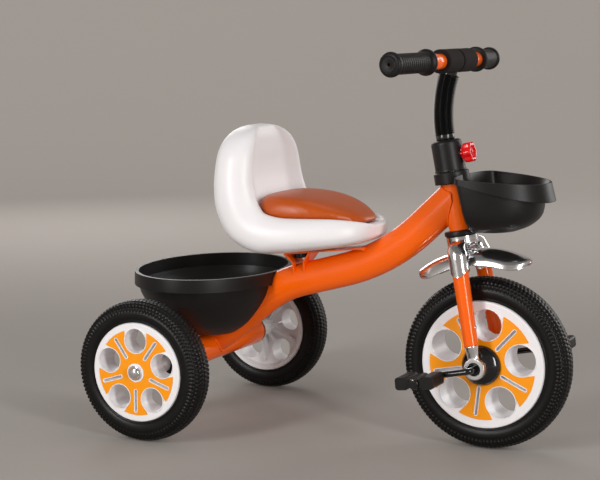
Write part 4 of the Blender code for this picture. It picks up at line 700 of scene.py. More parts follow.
def build_frame_tubes():
    path, radii = main_tube_sections()
    rings = rod_rings(path, radii, 64, TUBE_WIDTH / TUBE_HEIGHT)
    reach = TUBE_HEIGHT
    across_axle = placed(REAR_AXLE, LEFT, UP)
    stock = [(-reach, 0.0), (reach, 0.0), (reach, 2 * reach), (-reach, 2 * reach)]
    in_front = placed(on_axis(HEAD_BOTTOM - reach), AXIS_UP, AXIS_FORWARD)
    behind = placed(REAR_AXLE - LEFT * reach, LEFT, FORWARD * -1)
    cuts = [extruded(stock, HEAD_LENGTH + 2 * reach, in_front),
            cylinder(HEAD_RADIUS + TOUCH, -reach, HEAD_LENGTH + reach,
                     placed(on_axis(HEAD_BOTTOM), AXIS_UP, LEFT), 96),
            extruded(stock, 2 * reach, behind),
            cylinder(AXLE_TUBE_RADIUS + TOUCH, -reach, reach, across_axle, 96)]
    piece("frame_tube", shaped(lofted(rings), cuts=cuts), "frame", "frame_paint", "main_tube",
          sharp=50.0)

    # weld beads where the tube meets the head tube and the axle tube
    along = (path[-1] - path[-2]).normalized()
    seam = [marched(point, along, AXIS_FOOT, AXIS_UP, HEAD_RADIUS + 0.0007)
            for point in rings[-2][::2]]
    piece("head_weld", bead(seam, 0.0014), "frame", "frame_paint", **SMOOTH)
    seam = [marched(near, far - near, REAR_AXLE, LEFT, AXLE_TUBE_RADIUS + 0.0007)
            for far, near in zip(rings[0][::2], rings[1][::2])]
    piece("axle_weld", bead(seam, 0.0018), "frame", "frame_paint", **SMOOTH)

    profile = pipe(HEAD_RADIUS, 0.0022, 0.0006, HEAD_BOTTOM, HEAD_TOP)
    piece("steering_head", turned(profile, STEERING, 80), "frame", "frame_paint", "head_tube")
    profile = pipe(AXLE_TUBE_RADIUS, 0.0025, 0.0008, -AXLE_TUBE_HALF, AXLE_TUBE_HALF)
    piece("axle_tube", turned(profile, across_axle, 80), "frame", "frame_paint",
          "rear_axle_tube")


# Steering
def build_steering():
    low = CROWN_TOP + TOUCH
    profile = lifted(low, ((0.0130, 0.0), (0.0232, 0.0), (0.0240, 0.0008), (0.0240, 0.0050),
                           (0.0232, 0.0065), (0.0145, 0.0065), (0.0145, 0.018), (0.0130, 0.018)))
    piece("lower_bearing", turned(profile, STEERING), "frame", "black_plastic",
          "lower_head_bearing")

    wall = COLLAR_RADIUS
    profile = [(0.0130, COLLAR_BOTTOM), (wall + 0.0002, COLLAR_BOTTOM),
               (wall + 0.0006, COLLAR_BOTTOM + 0.0005), (wall + 0.0006, COLLAR_BOTTOM + 0.0022),
               (wall, COLLAR_BOTTOM + 0.0030)]
    profile += smoothed([(wall, COLLAR_TOP - 0.0062), (wall - 0.0004, COLLAR_TOP - 0.0036),
                         (wall - 0.0018, COLLAR_TOP - 0.0014),
                         (wall - 0.0042, COLLAR_TOP - 0.0003), (wall - 0.0062, COLLAR_TOP)], 4)
    profile += [(0.0121, COLLAR_TOP), (0.0115, COLLAR_TOP - 0.0006),
                (0.0115, COLLAR_TOP - 0.009), (0.0130, COLLAR_TOP - 0.009)]
    facing = placed(on_axis(KNOB_LEVEL), AXIS_FORWARD, AXIS_UP)
    boss = turned([(0.0046, 0.018), (0.0098, 0.018), (0.0092, wall - 0.0006),
                   (0.0084, wall + 0.0001), (0.0046, wall + 0.0001)], facing, 48)
    deep, thin = 0.0004, 0.0003
    groove = [(-deep, -thin), (deep, -thin), (deep, thin), (-deep, thin)]
    cuts = [cylinder(0.0044, 0.0, 0.03, facing, 32)]
    for turn in (100.0, 260.0):
        spot = spun(STEERING, math.radians(turn), x=wall, z=COLLAR_BOTTOM + 0.003)
        cuts.append(extruded(groove, 0.036, spot))
    piece("clamp_collar", shaped(turned(profile, STEERING, 96), joins=[boss], cuts=cuts),
          "steering", "black_plastic", "stem_collar")

    # scalloped knob with a sunk middle
    low = wall + TOUCH
    top = low + 0.0165
    lobes = 6
    base = []
    for i, (c, s) in enumerate(around(96)):
        reach = 0.0155 * (0.915 + 0.085 * math.cos(lobes * (math.tau * i / 96)))
        base.append((reach * c, reach * s))
    stations = lifted(low, ((0.58, 0.0), (0.60, 0.0028), (0.80, 0.0036), (0.95, 0.0048),
                            (1.0, 0.0068)))
    stations += lifted(top, ((1.0, -0.0042), (0.97, -0.0018), (0.88, -0.0003), (0.74, 0.0),
                             (0.62, -0.0006), (0.56, -0.0026), (0.40, -0.0030)))
    rings = [[facing @ Vector((x * share, y * share, z)) for x, y in base]
             for share, z in stations]
    piece("hand_knob", lofted(smooth_rings(rings, 3)), "clamp_screw", "red_plastic",
          "clamp_knob", sharp=60.0)
    stud = [(0.0, 0.0114), (0.0040, 0.0114), (0.0040, low + 0.004), (0.0, low + 0.004)]
    piece("knob_stud", turned(stud, facing, 32), "clamp_screw", "steel")
    screw = lifted(top, ((0.0, -0.0035), (0.0045, -0.0035), (0.0045, -0.0022),
                         (0.0032, -0.0012), (0.0002, -0.0009), (0.0, -0.0009)))
    piece("knob_screw", turned(screw, facing, 32), "clamp_screw", "red_plastic")


def leg_share(level):
    return (level - LEG_LOW) / (LEG_TOP - LEG_LOW)


def leg_point(level, side):
    return on_axis(level, FORK_OFFSET, side * (0.052 + (0.045 - 0.052) * leg_share(level)))


def leg_radius(level):
    return (0.0205 + (0.0240 - 0.0205) * leg_share(level)) / 2


def level_ring(centre, long, wide, drop=0.0, segments=64):
    """An oval ring square to the steering axis. Its sides can hang lower."""
    return [centre + AXIS_FORWARD * (long * c) + LEFT * (wide * s) - AXIS_UP * (drop * s * s)
            for c, s in around(segments)]


PIN_LEVEL = 0.058
EYE_HALF = 0.0055
EYE_BORE = 0.0098
BUSH_RADIUS = 0.0095
CROWN_RADIUS = 0.023


def build_fork():
    for word, side in SIDES:
        rings = []
        for k in range(9):
            level = LEG_LOW + (LEG_TOP - LEG_LOW) * k / 8
            rings.append(level_ring(leg_point(level, side), leg_radius(level),
                                    leg_radius(level)))
        piece("leg_" + word, lofted(rings), "steering", "frame_paint", "fork_leg_" + word)

        # bright cap with a pointed lower edge, leaning in to the crown
        inner = []
        for level, drop, extra in ((0.141, 0.009, 0.0009), (0.1603, 0.0, 0.0003)):
            reach = leg_radius(level) + extra
            inner.append(level_ring(leg_point(level, side), reach, reach, drop))
        reach = leg_radius(0.141) + 0.0009 + 0.0012
        skirt = [level_ring(leg_point(0.141, side), reach, reach, 0.009 + 0.0006)]
        outer = []
        for level, reach, drop in ((0.1420, 0.0016, 0.0086), (0.1500, 0.0017, 0.0040),
                                   (0.1603, 0.0017, 0.0)):
            reach = leg_radius(level) + TOUCH + reach
            outer.append(level_ring(leg_point(level, side), reach, reach, drop))
        for level, spread, reach in ((0.1690, 0.0435, 0.0128), (0.1765, 0.0385, 0.0116),
                                     (0.1815, 0.0290, 0.0085)):
            centre = on_axis(level, FORK_OFFSET * 0.8, side * spread)
            outer.append(level_ring(centre, reach, reach))
        cap = lofted(inner[::-1] + skirt + smooth_rings(outer, 4))
        seat = cylinder(CROWN_RADIUS + 0.0002, -0.04, 0.04,
                        placed(on_axis(CROWN_BOTTOM), AXIS_UP, LEFT), 80)
        piece("shoulder_" + word, shaped(cap, cuts=[seat]), "steering", "chrome",
              "fork_shoulder_" + word, sharp=40.0)

        # forged eye with a neck that rounds into the leg
        across = leg_point(LEG_LOW, side).y
        eye = placed(FRONT_AXLE + LEFT * across, LEFT, AXIS_UP)
        half = EYE_HALF
        disc = cylinder(0.0155, -half, half, eye, 72)
        rings = [level_ring(on_axis(level, FORK_OFFSET, across), long / 2, wide / 2)
                 for level, long, wide in ((0.0115, 0.017, 0.0106), (0.020, 0.017, 0.0121),
                                           (0.0285, 0.0195, 0.0180), (0.0335, 0.0205, 0.0205))]
        forged = shaped(disc, joins=[lofted(smooth_rings(rings, 4))], voxel=0.0007, soften=7)
        forged = shaped(forged, cuts=[cylinder(EYE_BORE, -0.02, 0.02, eye, 64)])
        piece("eye_" + word, forged, "steering", "chrome", "fork_end_" + word, sharp=45.0,
              weighted=False, paint="satin")
        bush = BUSH_RADIUS
        rim = [(0.0048, -half), (bush - 0.0006, -half), (bush, -half + 0.0005),
               (bush, half - 0.0005)]
        rim += lifted(half, ((bush - 0.0006, 0.0004), (0.0082, 0.0004), (0.0076, -0.0010),
                             (0.0062, -0.0010), (0.0056, 0.0002), (0.0048, 0.0002)))
        face = wheel_frame(FRONT_AXLE + LEFT * across, side)
        piece("bush_" + word, turned(rim, face, 56), "steering", "black_gloss",
              "crank_bush_" + word, sharp=40.0)

        # cross pin low in the leg
        spot = placed(leg_point(PIN_LEVEL, side), AXIS_FORWARD, LEFT)
        reach = leg_radius(PIN_LEVEL)
        pin = lifted(-reach, ((0.0, -0.0016), (0.0016, -0.0015), (0.0025, -0.0004)))
        pin += lifted(reach, ((0.0025, 0.0004), (0.0016, 0.0015), (0.0, 0.0016)))
        piece("leg_pin_" + word, turned(pin, spot, 24), "steering", "steel", sharp=60.0)

    outer = CROWN_RADIUS
    profile = [(0.0, 0.1672), (0.0095, 0.1669), (0.0106, 0.1674), (0.0160, 0.1695),
               (outer - 0.0030, 0.1718), (outer - 0.0008, 0.1734), (outer, 0.1750),
               (outer, 0.1772), (outer - 0.0006, 0.1776), (outer - 0.0006, 0.1782),
               (outer, 0.1786), (outer, 0.1856), (outer - 0.0012, CROWN_TOP),
               (0.0130, CROWN_TOP), (0.0130, 0.1717), (0.0, 0.1717)]
    piece("crown", turned(profile, STEERING, 96), "steering", "chrome", "fork_crown", sharp=40.0)


# Mudguard
FENDER_RADIUS = 0.166
FENDER_HALF = 0.029
FENDER_DROP = 0.021
FENDER_FRONT = math.radians(68.0)
FENDER_REAR = math.radians(131.0)
FENDER_REACH = math.radians(80.0)


def fender_section(angle, inset, points=25):
    share = (angle - FENDER_FRONT) / (FENDER_REAR - FENDER_FRONT)
    ends = min(min(share, 1.0 - share) / 0.16, 1.0)
    taper = math.sqrt(max(1.0 - (1.0 - ends) ** 2, 0.0)) * 0.8 + 0.2
    made = []
    for k in range(points):
        turn = math.radians(-80.0 + 160.0 * k / (points - 1))
        across = (FENDER_HALF - inset) * taper * math.sin(turn) / math.sin(FENDER_REACH)
        down = FENDER_DROP * taper * (1.0 - math.cos(turn)) / (1.0 - math.cos(FENDER_REACH))
        radius = FENDER_RADIUS - inset - down
        made.append(FRONT_AXLE + Vector((radius * math.cos(angle), across,
                                         radius * math.sin(angle))))
    return made


def build_mudguard():
    rings, first, last = [], [], []
    steps = 56
    for i in range(steps + 1):
        share = 0.5 - 0.5 * math.cos(math.pi * i / steps)
        angle = FENDER_FRONT + (FENDER_REAR - FENDER_FRONT) * share
        outer = fender_section(angle, 0.0)
        inner = fender_section(angle, 0.0012)
        rings.append(outer + inner[::-1])
        first.append(outer[0].lerp(inner[0], 0.5))
        last.append(outer[-1].lerp(inner[-1], 0.5))
    guard = shaped(lofted(rings), cuts=[cylinder(0.0033, 0.156, 0.176, STEERING, 32)])
    piece("mudguard", guard, "steering", "chrome", "front_mudguard", sharp=50.0)
    # rolled edge
    rim = first + last[::-1]
    rim = [p for i, p in enumerate(rim) if (p - rim[i - 1]).length > 0.0004]
    piece("mudguard_edge", lofted(carried_rings(rim, 0.00085, 10, True), True), "steering",
          "chrome", **SMOOTH)


# Cranks and pedals
CRANK_REACH = 0.066
CRANK_PLANE = 0.0715
CRANK_BEND = 0.0065
CRANK_ANGLE = math.radians(192.5)
PEDAL_START = CRANK_PLANE + ROD + 0.003
PEDAL_HALF = 0.021
PEDAL_HALF_WIDTH = 0.0285
PEDAL_HALF_THICKNESS = 0.009
PEDAL_ROUNDING = 0.0045
PEDAL_WEB = 0.0055
PEDAL_CAP = ((1.0, 0.0022), (0.93, 0.0033), (0.72, 0.0039), (0.40, 0.0040))


def crank_offset(side):
    angle = CRANK_ANGLE if side < 0 else CRANK_ANGLE + math.pi
    return Vector((math.cos(angle), 0.0, math.sin(angle))) * CRANK_REACH


def pedal_mesh(here):
    """A block of two treads on a web, with grooves across each tread and a bored barrel."""
    wide, thick, turn = PEDAL_HALF_WIDTH, PEDAL_HALF_THICKNESS, PEDAL_ROUNDING
    inner = wide - 0.019
    quarter = [(inner - 0.0015, PEDAL_WEB), (inner + 0.0005, PEDAL_WEB + 0.0004),
               (inner + 0.0022, thick - 0.0006), (inner + 0.0034, thick)]
    for k in range(6):
        a = math.radians(90.0 - 90.0 * k / 5)
        quarter.append((wide - turn + turn * math.cos(a), thick - turn + turn * math.sin(a)))
    back = quarter[::-1]
    outline = quarter + [(x, -y) for x, y in back]
    outline += [(-x, -y) for x, y in quarter] + [(-x, y) for x, y in back]
    grooves = []
    for k in range(6):
        for level in (thick - 0.0014, -thick - 0.0020):
            low = -PEDAL_HALF + 0.0062 + k * 0.0059
            spot = here @ Matrix.Translation((0.0, level, low))
            for x in (-1, 1):
                near, far = sorted((x * (inner + 0.0005), x * (wide + 0.002)))
                box = [(near, 0.0), (far, 0.0), (far, 0.0034), (near, 0.0034)]
                grooves.append(extruded(box, 0.0018, spot))
    base = here @ Matrix.Translation((0.0, 0.0, -PEDAL_HALF))
    body = shaped(extruded(outline, 2 * PEDAL_HALF, base), cuts=[several(grooves)])
    return shaped(body, joins=[cylinder(0.00775, -PEDAL_HALF, PEDAL_HALF, here, 48)],
                  cuts=[cylinder(0.0048, -0.05, 0.05, here, 32)], bevel=0.0005)


def build_cranks():
    corners = []
    for side in (-1, 1):
        pin = FRONT_AXLE + crank_offset(side)
        outer = [pin + LEFT * (side * (PEDAL_START + 0.045)), pin + LEFT * (side * CRANK_PLANE),
                 FRONT_AXLE + LEFT * (side * CRANK_PLANE)]
        corners += outer if side < 0 else outer[::-1]
    path = bent_path(corners, (CRANK_BEND,) * 4, 10)
    piece("crank_rod", lofted(carried_rings(path, ROD, 28)), "front_wheel", "black_gloss",
          "crankshaft", sharp=50.0)
    for word, side in SIDES:
        centre = FRONT_AXLE + crank_offset(side) + LEFT * (side * (PEDAL_START + PEDAL_HALF))
        here = spun(wheel_frame(centre, side), -side * math.radians(7.0))
        piece("pedal_block_" + word, pedal_mesh(here), word + "_pedal", "black_plastic",
              "pedal_" + word)
        low = PEDAL_HALF + 0.0006
        cap = 0.0075
        profile = [(0.0, low), (cap - 0.0004, low), (cap, low + 0.0004)]
        profile += smoothed(lifted(low, PEDAL_CAP, cap) + [(0.0002, low + 0.0040)], 4)
        piece("pedal_end_" + word, turned(profile, here, 48), word + "_pedal", "black_gloss",
              "pedal_cap_" + word, sharp=40.0)


# Handlebar
BAR_HALF_SPAN = 0.186
BAR_BEND_AT = 0.070
BAR_BORE = BAR_RADIUS + 0.0003
STEM_STRAIGHT_TOP = 0.3300
CUFF = 0.0075
RIB_PITCH = 0.00274
RIBS = 32
RIB_SHAPE = ((0.0, 0.0126), (0.12, 0.0129), (0.28, 0.0142), (0.40, 0.0149), (0.5, 0.0151),
             (0.60, 0.0149), (0.72, 0.0142), (0.88, 0.0129))
GRIP_LENGTH = 0.094
GRIP_BODY = 0.0140
GRIP_FLANGE = 0.0185
GRIP_KNOB = 0.0170
GRIP_RIBS = 13
GRIP_HOLE = 0.0022
FOAM_START = 0.0015
FOAM_LENGTH = 0.053
FOAM_RADIUS = 0.017


def bar_point(across):
    out = max(abs(across) - BAR_BEND_AT, 0.0) / (BAR_HALF_SPAN - BAR_BEND_AT)
    return ahead(0.399 - 0.0162 * out, 0.555 - 0.0013 * out, across)


def stem_path(start_level, steps=40):
    foot = on_axis(STEM_STRAIGHT_TOP)
    chord = bar_point(0.0) - foot
    radius = chord.length_squared / (2 * chord.dot(AXIS_FORWARD))
    sweep = 2 * math.asin(chord.length / (2 * radius))
    centre = foot + AXIS_FORWARD * radius
    points = [on_axis(start_level + (STEM_STRAIGHT_TOP - start_level) * k / 8) for k in range(8)]
    for k in range(steps + 1):
        turn = sweep * k / steps
        points.append(centre - AXIS_FORWARD * radius * math.cos(turn)
                      + AXIS_UP * radius * math.sin(turn))
    return points


def sleeve_mesh():
    """A ribbed sleeve with a plain cuff at its foot."""
    line = [on_axis(COLLAR_TOP + TOUCH)] + stem_path(STEM_STRAIGHT_TOP - 0.0001, 60)[8:]
    lengths = distances(line)

    def at(distance):
        for i in range(len(line) - 1):
            if lengths[i + 1] >= distance:
                share = (distance - lengths[i]) / (lengths[i + 1] - lengths[i])
                return line[i].lerp(line[i + 1], share)
        return line[-1]

    spots = [0.0, 0.0004, CUFF * 0.5, CUFF * 0.9, CUFF]
    radii = [0.0128, 0.01325, 0.01325, 0.01325, 0.0131]
    for i in range(RIBS):
        for share, radius in RIB_SHAPE:
            spots.append(CUFF + RIB_PITCH * (i + share))
            radii.append(radius)
    spine = [at(spot) for spot in spots + [CUFF + RIB_PITCH * RIBS]]
    outer = rod_rings(spine, radii + [0.0130], 56)
    inner = rod_rings([spine[0], at(0.03), at(0.06), spine[-1]], 0.0112, 56)
    return lofted(outer + inner[::-1], True)


def grip_profile():
    """The rounded end with its small blind hole, the ribs, and the flange at the inner end."""
    body, knob, flange, foot = GRIP_BODY, GRIP_KNOB, GRIP_FLANGE, -GRIP_LENGTH
    profile = [(GRIP_HOLE, 0.0030), (GRIP_HOLE, 0.0056), (0.0030, 0.0060), (0.0100, 0.0060),
               (0.0106, 0.0052), (0.0114, 0.0052), (0.0120, 0.0058)]
    profile += smoothed([(0.0126, 0.0056), (0.0152, 0.0046), (knob, 0.0020), (knob, -0.0012),
                         (0.0162, -0.0030), (0.0146, -0.0044), (body, -0.0060)], 3)
    pitch = (GRIP_LENGTH - 0.0235) / GRIP_RIBS
    for i in range(GRIP_RIBS):
        z = -0.0085 - i * pitch
        profile += [(body - 0.0002, z), (body - 0.0002, z - pitch * 0.16),
                    (body + 0.0001, z - pitch * 0.28), (body + 0.0002, z - pitch * 0.62),
                    (body + 0.0001, z - pitch * 0.90)]
    profile += smoothed([(body, foot + 0.0140), (body + 0.0012, foot + 0.0088),
                         (flange - 0.0006, foot + 0.0058), (flange, foot + 0.0036),
                         (flange - 0.0004, foot + 0.0010), (flange - 0.0022, foot)], 3)
    return profile + [(BAR_BORE, foot), (BAR_BORE, 0.0003), (GRIP_HOLE, 0.0003)]


def foam_profile():
    """A sleeve with soft ends and a slightly sunk middle."""
    radius, length = FOAM_RADIUS, FOAM_LENGTH
    end = ((0.0030, 0.0), (0.0010, 0.0004), (0.0001, 0.0018), (0.0, 0.0040))
    profile = [(BAR_BORE, 0.0)]
    profile += smoothed([(radius - inset, z) for inset, z in end], 4)
    profile += [(radius - 0.0001, length * 0.35), (radius - 0.0002, length * 0.5),
                (radius - 0.0001, length * 0.7)]
    profile += smoothed([(radius - inset, length - z) for inset, z in end[::-1]], 4)
    return profile + [(BAR_BORE, length)]


def build_handlebar():
    body = "handlebar_assembly"
    middle = bar_point(0.0)
    stem = lofted(rod_rings(stem_path(0.2300), BAR_RADIUS, 48))
    cope = cylinder(BAR_BORE, -0.022, 0.022, placed(middle, LEFT, UP), 64)
    piece("stem_tube", shaped(stem, cuts=[cope]), body, "black_gloss", "handlebar_stem",
          sharp=50.0)
    piece("corrugated_sleeve", sleeve_mesh(), body, "black_plastic", "stem_hose", sharp=60.0,
          weighted=False, paint="hose")

    stations = [-BAR_HALF_SPAN, -0.12, -0.09, -0.082, -0.076, -0.070, -0.064, -0.055, -0.03]
    path = [bar_point(y) for y in stations] + [bar_point(-y) for y in stations[::-1]]
    piece("bar", lofted(rod_rings(smoothed(path, 3), BAR_RADIUS, 56)), body, "frame_paint",
          "handlebar", sharp=60.0)
    top = stem_path(STEM_STRAIGHT_TOP - 0.0001)[-2:]
    along = (top[1] - top[0]).normalized()
    normal = along.cross(LEFT).normalized()
    seam = []
    for c, s in around(28):
        spot = middle - along * 0.03 + (normal * c + LEFT * s) * BAR_RADIUS
        seam.append(marched(spot, along, middle, LEFT, BAR_RADIUS + 0.0004))
    piece("bar_weld", bead(seam, 0.0012), body, "frame_paint", **SMOOTH)

    for word, side in SIDES:
        end = bar_point(side * BAR_HALF_SPAN)
        inward = (bar_point(side * BAR_HALF_SPAN * 0.7) - end).normalized()
        piece("grip_" + word, turned(grip_profile(), placed(end, inward * -1, UP), 64), body,
              "grip_rubber", "handlebar_grip_" + word, sharp=50.0, weighted=False)
        start = bar_point(side * FOAM_START)
        direction = bar_point(side * (FOAM_START + FOAM_LENGTH)) - start
        room = lofted(rod_rings(stem_path(STEM_STRAIGHT_TOP - 0.0001), BAR_BORE, 48))
        sleeve = turned(foam_profile(), placed(start, direction.normalized(), UP), 80)
        foam = piece("foam_sleeve_" + word, shaped(sleeve, cuts=[room]), body, "foam",
                     "handlebar_foam_" + word, sharp=50.0)


# Seat: distance ahead, height, half width, thickness, depth of the bowl and squareness of
# the edge at each station from the tip to the top of the back
SEAT_STATIONS = (
    (0.2880, 0.3065, 0.018, 0.014, 0.000, 0.0),
    (0.2820, 0.3065, 0.040, 0.024, 0.002, 0.0),
    (0.2665, 0.3050, 0.062, 0.035, 0.008, 0.0),
    (0.2400, 0.3030, 0.080, 0.044, 0.013, 0.0),
    (0.2020, 0.2998, 0.094, 0.050, 0.014, 0.0),
    (0.1650, 0.2970, 0.102, 0.055, 0.014, 0.2),
    (0.1310, 0.2985, 0.105, 0.064, 0.014, 0.5),
    (0.1060, 0.3130, 0.106, 0.070, 0.014, 0.8),
    (0.0912, 0.3400, 0.106, 0.068, 0.014, 1.0),
    (0.0850, 0.3700, 0.103, 0.064, 0.013, 1.0),
    (0.0838, 0.3970, 0.0975, 0.061, 0.013, 1.0),
    (0.0838, 0.4130, 0.0925, 0.0580, 0.012, 1.0),
    (0.0839, 0.4260, 0.0842, 0.0545, 0.011, 1.0),
    (0.0840, 0.4370, 0.0725, 0.0490, 0.009, 0.9),
    (0.0841, 0.4455, 0.0575, 0.0400, 0.006, 0.8),
    (0.0842, 0.4510, 0.0400, 0.0300, 0.003, 0.6),
    (0.0842, 0.4538, 0.0230, 0.0190, 0.000, 0.5),
)


def seat_section(point, normal, half_width, thickness, dish, square):
    half = thickness / 2
    right = [(0.0, -half), (0.45, -half * 0.985), (0.72, -half * (0.88 + 0.05 * square)),
             (0.88, -half * (0.70 + 0.14 * square)), (0.97, -half * (0.38 + 0.16 * square)),
             (1.0, -half * 0.05), (0.985, half * 0.36), (0.93, half * 0.70), (0.85, half * 0.93),
             (0.77, half), (0.68, half - dish * 0.30), (0.55, half - dish * 0.85),
             (0.28, half - dish)]
    left = [(-x, y) for x, y in right[::-1] if x > 0.0]
    section = right + [(0.0, half - dish)] + left
    return [point + LEFT * (x * half_width) + normal * y for x, y in section]


def seat_rings(grow=0.0):
    spine = [ahead(station[0], station[1]) for station in SEAT_STATIONS]
    rings = []
    for point, along, station in zip(spine, headings(spine), SEAT_STATIONS):
        width, thick, dish, square = station[2:]
        normal = LEFT.cross(along).normalized()
        rings.append(seat_section(point, normal, width + grow, thick + 2 * grow, dish, square))
    return rings


def shrunk(ring, share, push=0.0):
    """A smaller copy of a ring, pushed along the loft."""
    centre = sum(ring, Vector()) / len(ring)
    return [centre + (point - centre) * share + push for point in ring]


def build_seat():
    rings = smooth_rings(seat_rings(), 5, 4)
    first = (rings[0][0] - rings[2][0]).normalized()
    last = (rings[-1][0] - rings[-3][0]).normalized()
    front = [shrunk(rings[0], 0.35, first * 0.0), shrunk(rings[0], 0.75, first * -0.0002)]
    top = [shrunk(rings[-1], share, last * 0.0002) for share in (0.90, 0.55)]
    piece("seat_body", lofted(front + rings + top), "frame", "white_plastic", "seat_shell",
          sharp=75.0)


# Cushion, in distances ahead of the rear axle and shares of its outline and height
CUSHION_REAR = 0.113
CUSHION_FOOT = 0.304
CUSHION_HALF_WIDTH = 0.078
CUSHION_INSET = 0.0010
CUSHION_SWELL = 0.0034
CUSHION_HELD = 0.30
CUSHION_PROFILE = ((0.95, 0.0), (0.985, 0.24), (1.0, 0.46), (0.988, 0.64), (0.935, 0.81),
                   (0.81, 0.93), (0.56, 0.98), (0.20, 1.0))
CLOTH = {"use_pressure": True, "uniform_pressure_force": 4.0, "quality": 8,
         "tension_stiffness": 20.0, "compression_stiffness": 20.0, "bending_stiffness": 2.0,
         "vertex_group_mass": "held"}
CLOTH_FRAMES = 20


def cushion_top(distance):
    share = (distance - CUSHION_REAR) / (0.2815 - CUSHION_REAR)
    return 0.3592 - 0.037 * max(share, 0.0) ** 2.8


def signed_power(value, power):
    return math.copysign(abs(value) ** (2 / power), value)


def cushion_outline(steps):
    outline = []
    for c, s in around(steps):
        power = 2.15 if c > 0 else 3.2
        x, y = signed_power(c, power), signed_power(s, power)
        if c > 0:
            outline.append((0.168 + 0.1135 * x, CUSHION_HALF_WIDTH * y * (1.0 - 0.12 * x * x)))
        else:
            outline.append((0.168 + 0.064 * x, CUSHION_HALF_WIDTH * y))
    return outline


def cushion_rings(outline, inset):
    centre = (CUSHION_REAR + 0.278) / 2
    rings = []
    for share, rise in CUSHION_PROFILE:
        reach = share - inset / 0.08
        ring = []
        for x, y in outline:
            spot = centre + (x - centre) * reach
            z = CUSHION_FOOT + (cushion_top(spot) - inset - CUSHION_FOOT) * rise
            ring.append(ahead(spot, z, y * reach))
        rings.append(ring)
    return rings


def build_cushion():
    """A stuffed pad, fitted to the seat's bowl and inflated by cloth simulation."""
    start = lofted(smooth_rings(cushion_rings(cushion_outline(96), CUSHION_INSET), 3))
    dish = lofted(smooth_rings(seat_rings(0.0008), 4, 3))
    mesh = shaped(start, cuts=[dish], voxel=0.0042, soften=2)
    pad = added("cushion_pad", mesh)
    rest = [v.co.copy() for v in mesh.vertices]
    held = pad.vertex_groups.new(name="held")
    for v in mesh.vertices:
        top = cushion_top(v.co.x - REAR_X)
        level = (v.co.z - CUSHION_FOOT) / (top - CUSHION_FOOT)
        held.add([v.index], 1.0 if level < CUSHION_HELD else 0.0, "REPLACE")
    cloth = modified(pad, "cloth", "CLOTH").settings
    for key, value in CLOTH.items():
        setattr(cloth, key, value)
    cloth.effector_weights.gravity = 0.0
    scene = bpy.context.scene
    for k in range(1, CLOTH_FRAMES + 1):
        scene.frame_set(k)
    swollen = evaluated(pad)
    pad.modifiers.clear()
    for v, before in zip(swollen.vertices, rest):
        move = v.co - before
        if move.length > CUSHION_SWELL:
            v.co = before + move.normalized() * CUSHION_SWELL
    pad.data = swollen
    scene.frame_set(1)
    mesh = pad.data
    bpy.data.objects.remove(pad)
    pad = piece("seat_pad", mesh, "frame", "cushion_leather", "seat_cushion", **SMOOTH)
    modified(pad, "even", "SMOOTH", factor=0.5, iterations=6)
    modified(pad, "finer", "SUBSURF", levels=1, render_levels=1)


# Baskets
BASKET_WALL = 0.0026
REAR_FLOOR = 0.1300
REAR_RIM = 0.2320
REAR_BAND_LOW = 0.2120
REAR_CENTRE = 0.0075
REAR_BOWL = (0.1060, 0.1460)
REAR_LIP = (0.1110, 0.1510)
REAR_START = 0.012
REAR_CURVE = ((0.30, 0.0), (0.43, 0.05), (0.65, 0.26), (0.86, 0.60), (0.955, 0.83), (0.990, 1.0))


def rear_rings(inset, segments=120):
    """Rings of the rear bowl's outside, or of its inside where it is inset."""
    low = REAR_BAND_LOW
    rings = []

    def ring(length, width, level):
        rings.append([ahead(REAR_CENTRE + length * c, level, width * s)
                      for c, s in around(segments)])

    for share, rise in smoothed(REAR_CURVE, 4):
        level = REAR_FLOOR + inset + (low - REAR_FLOOR - inset) * rise
        ring(REAR_BOWL[0] * share - inset, REAR_BOWL[1] * share - inset, level)
    if inset:
        rim = inset + 0.0036
        bands = ((-rim, low + 0.0005), (-rim, REAR_RIM + inset))
    else:
        bands = ((0.0, low + 0.0003), (0.0, low + 0.006), (-0.0001, REAR_RIM - 0.006),
                 (-0.0006, REAR_RIM))
    for grow, level in bands:
        ring(REAR_LIP[0] + grow, REAR_LIP[1] + grow, level)
    return rings


def tube_channel(grow, start, low):
    """Room for the main tube under an arch that is open below."""
    path, radii = main_tube_sections(grow, 10)
    path = [path[0] - (path[1] - path[0]).normalized() * start] + path
    radii = [radii[0]] + radii
    ahead_of = REAR_X + REAR_CENTRE + REAR_LIP[0] + TUBE_HEIGHT
    count = sum(1 for point in path if point.x < ahead_of)
    across = (TUBE_WIDTH / 2 + grow) / (TUBE_HEIGHT / 2 + grow)
    segments = 48
    quarter = segments // 4
    shapes = []
    for ring in rod_rings(path, radii, segments, across)[:count]:
        arch = ring[-quarter:] + ring[:quarter + 1]
        mouth = [Vector((corner.x, corner.y, low)) for corner in (arch[-1], arch[0])]
        shapes.append(arch + mouth)
    return lofted(shapes)


def build_rear_basket():
    low = REAR_FLOOR - TUBE_HEIGHT
    hollow = shaped(lofted(rear_rings(BASKET_WALL)),
                    cuts=[tube_channel(TOUCH + BASKET_WALL, REAR_START + BASKET_WALL, low)])
    basket = shaped(lofted(rear_rings(0.0)),
                    cuts=[hollow, tube_channel(TOUCH, REAR_START, low)],
                    bevel=0.0009, segments=3, angle=42.0)
    piece("rear_tub", basket, "frame", "black_plastic", "rear_basket")


FRONT_RIM = 0.3937
FRONT_FLOOR = 0.3180
FRONT_CENTRE = 0.4385
FRONT_LENGTH = 0.1056
FRONT_BACK = 0.0190
FRONT_HALF_WIDTH = 0.0765
FRONT_SLOPE = 0.060
FRONT_POWER = 2.2
FRONT_LIP = 0.008
FRONT_CURVE = ((0.42, 0.62, 0.0), (0.62, 0.78, 0.14), (0.80, 0.90, 0.42), (0.90, 0.96, 1.0))
RING_RADIUS = 0.0255
RING_BORE = 0.0143


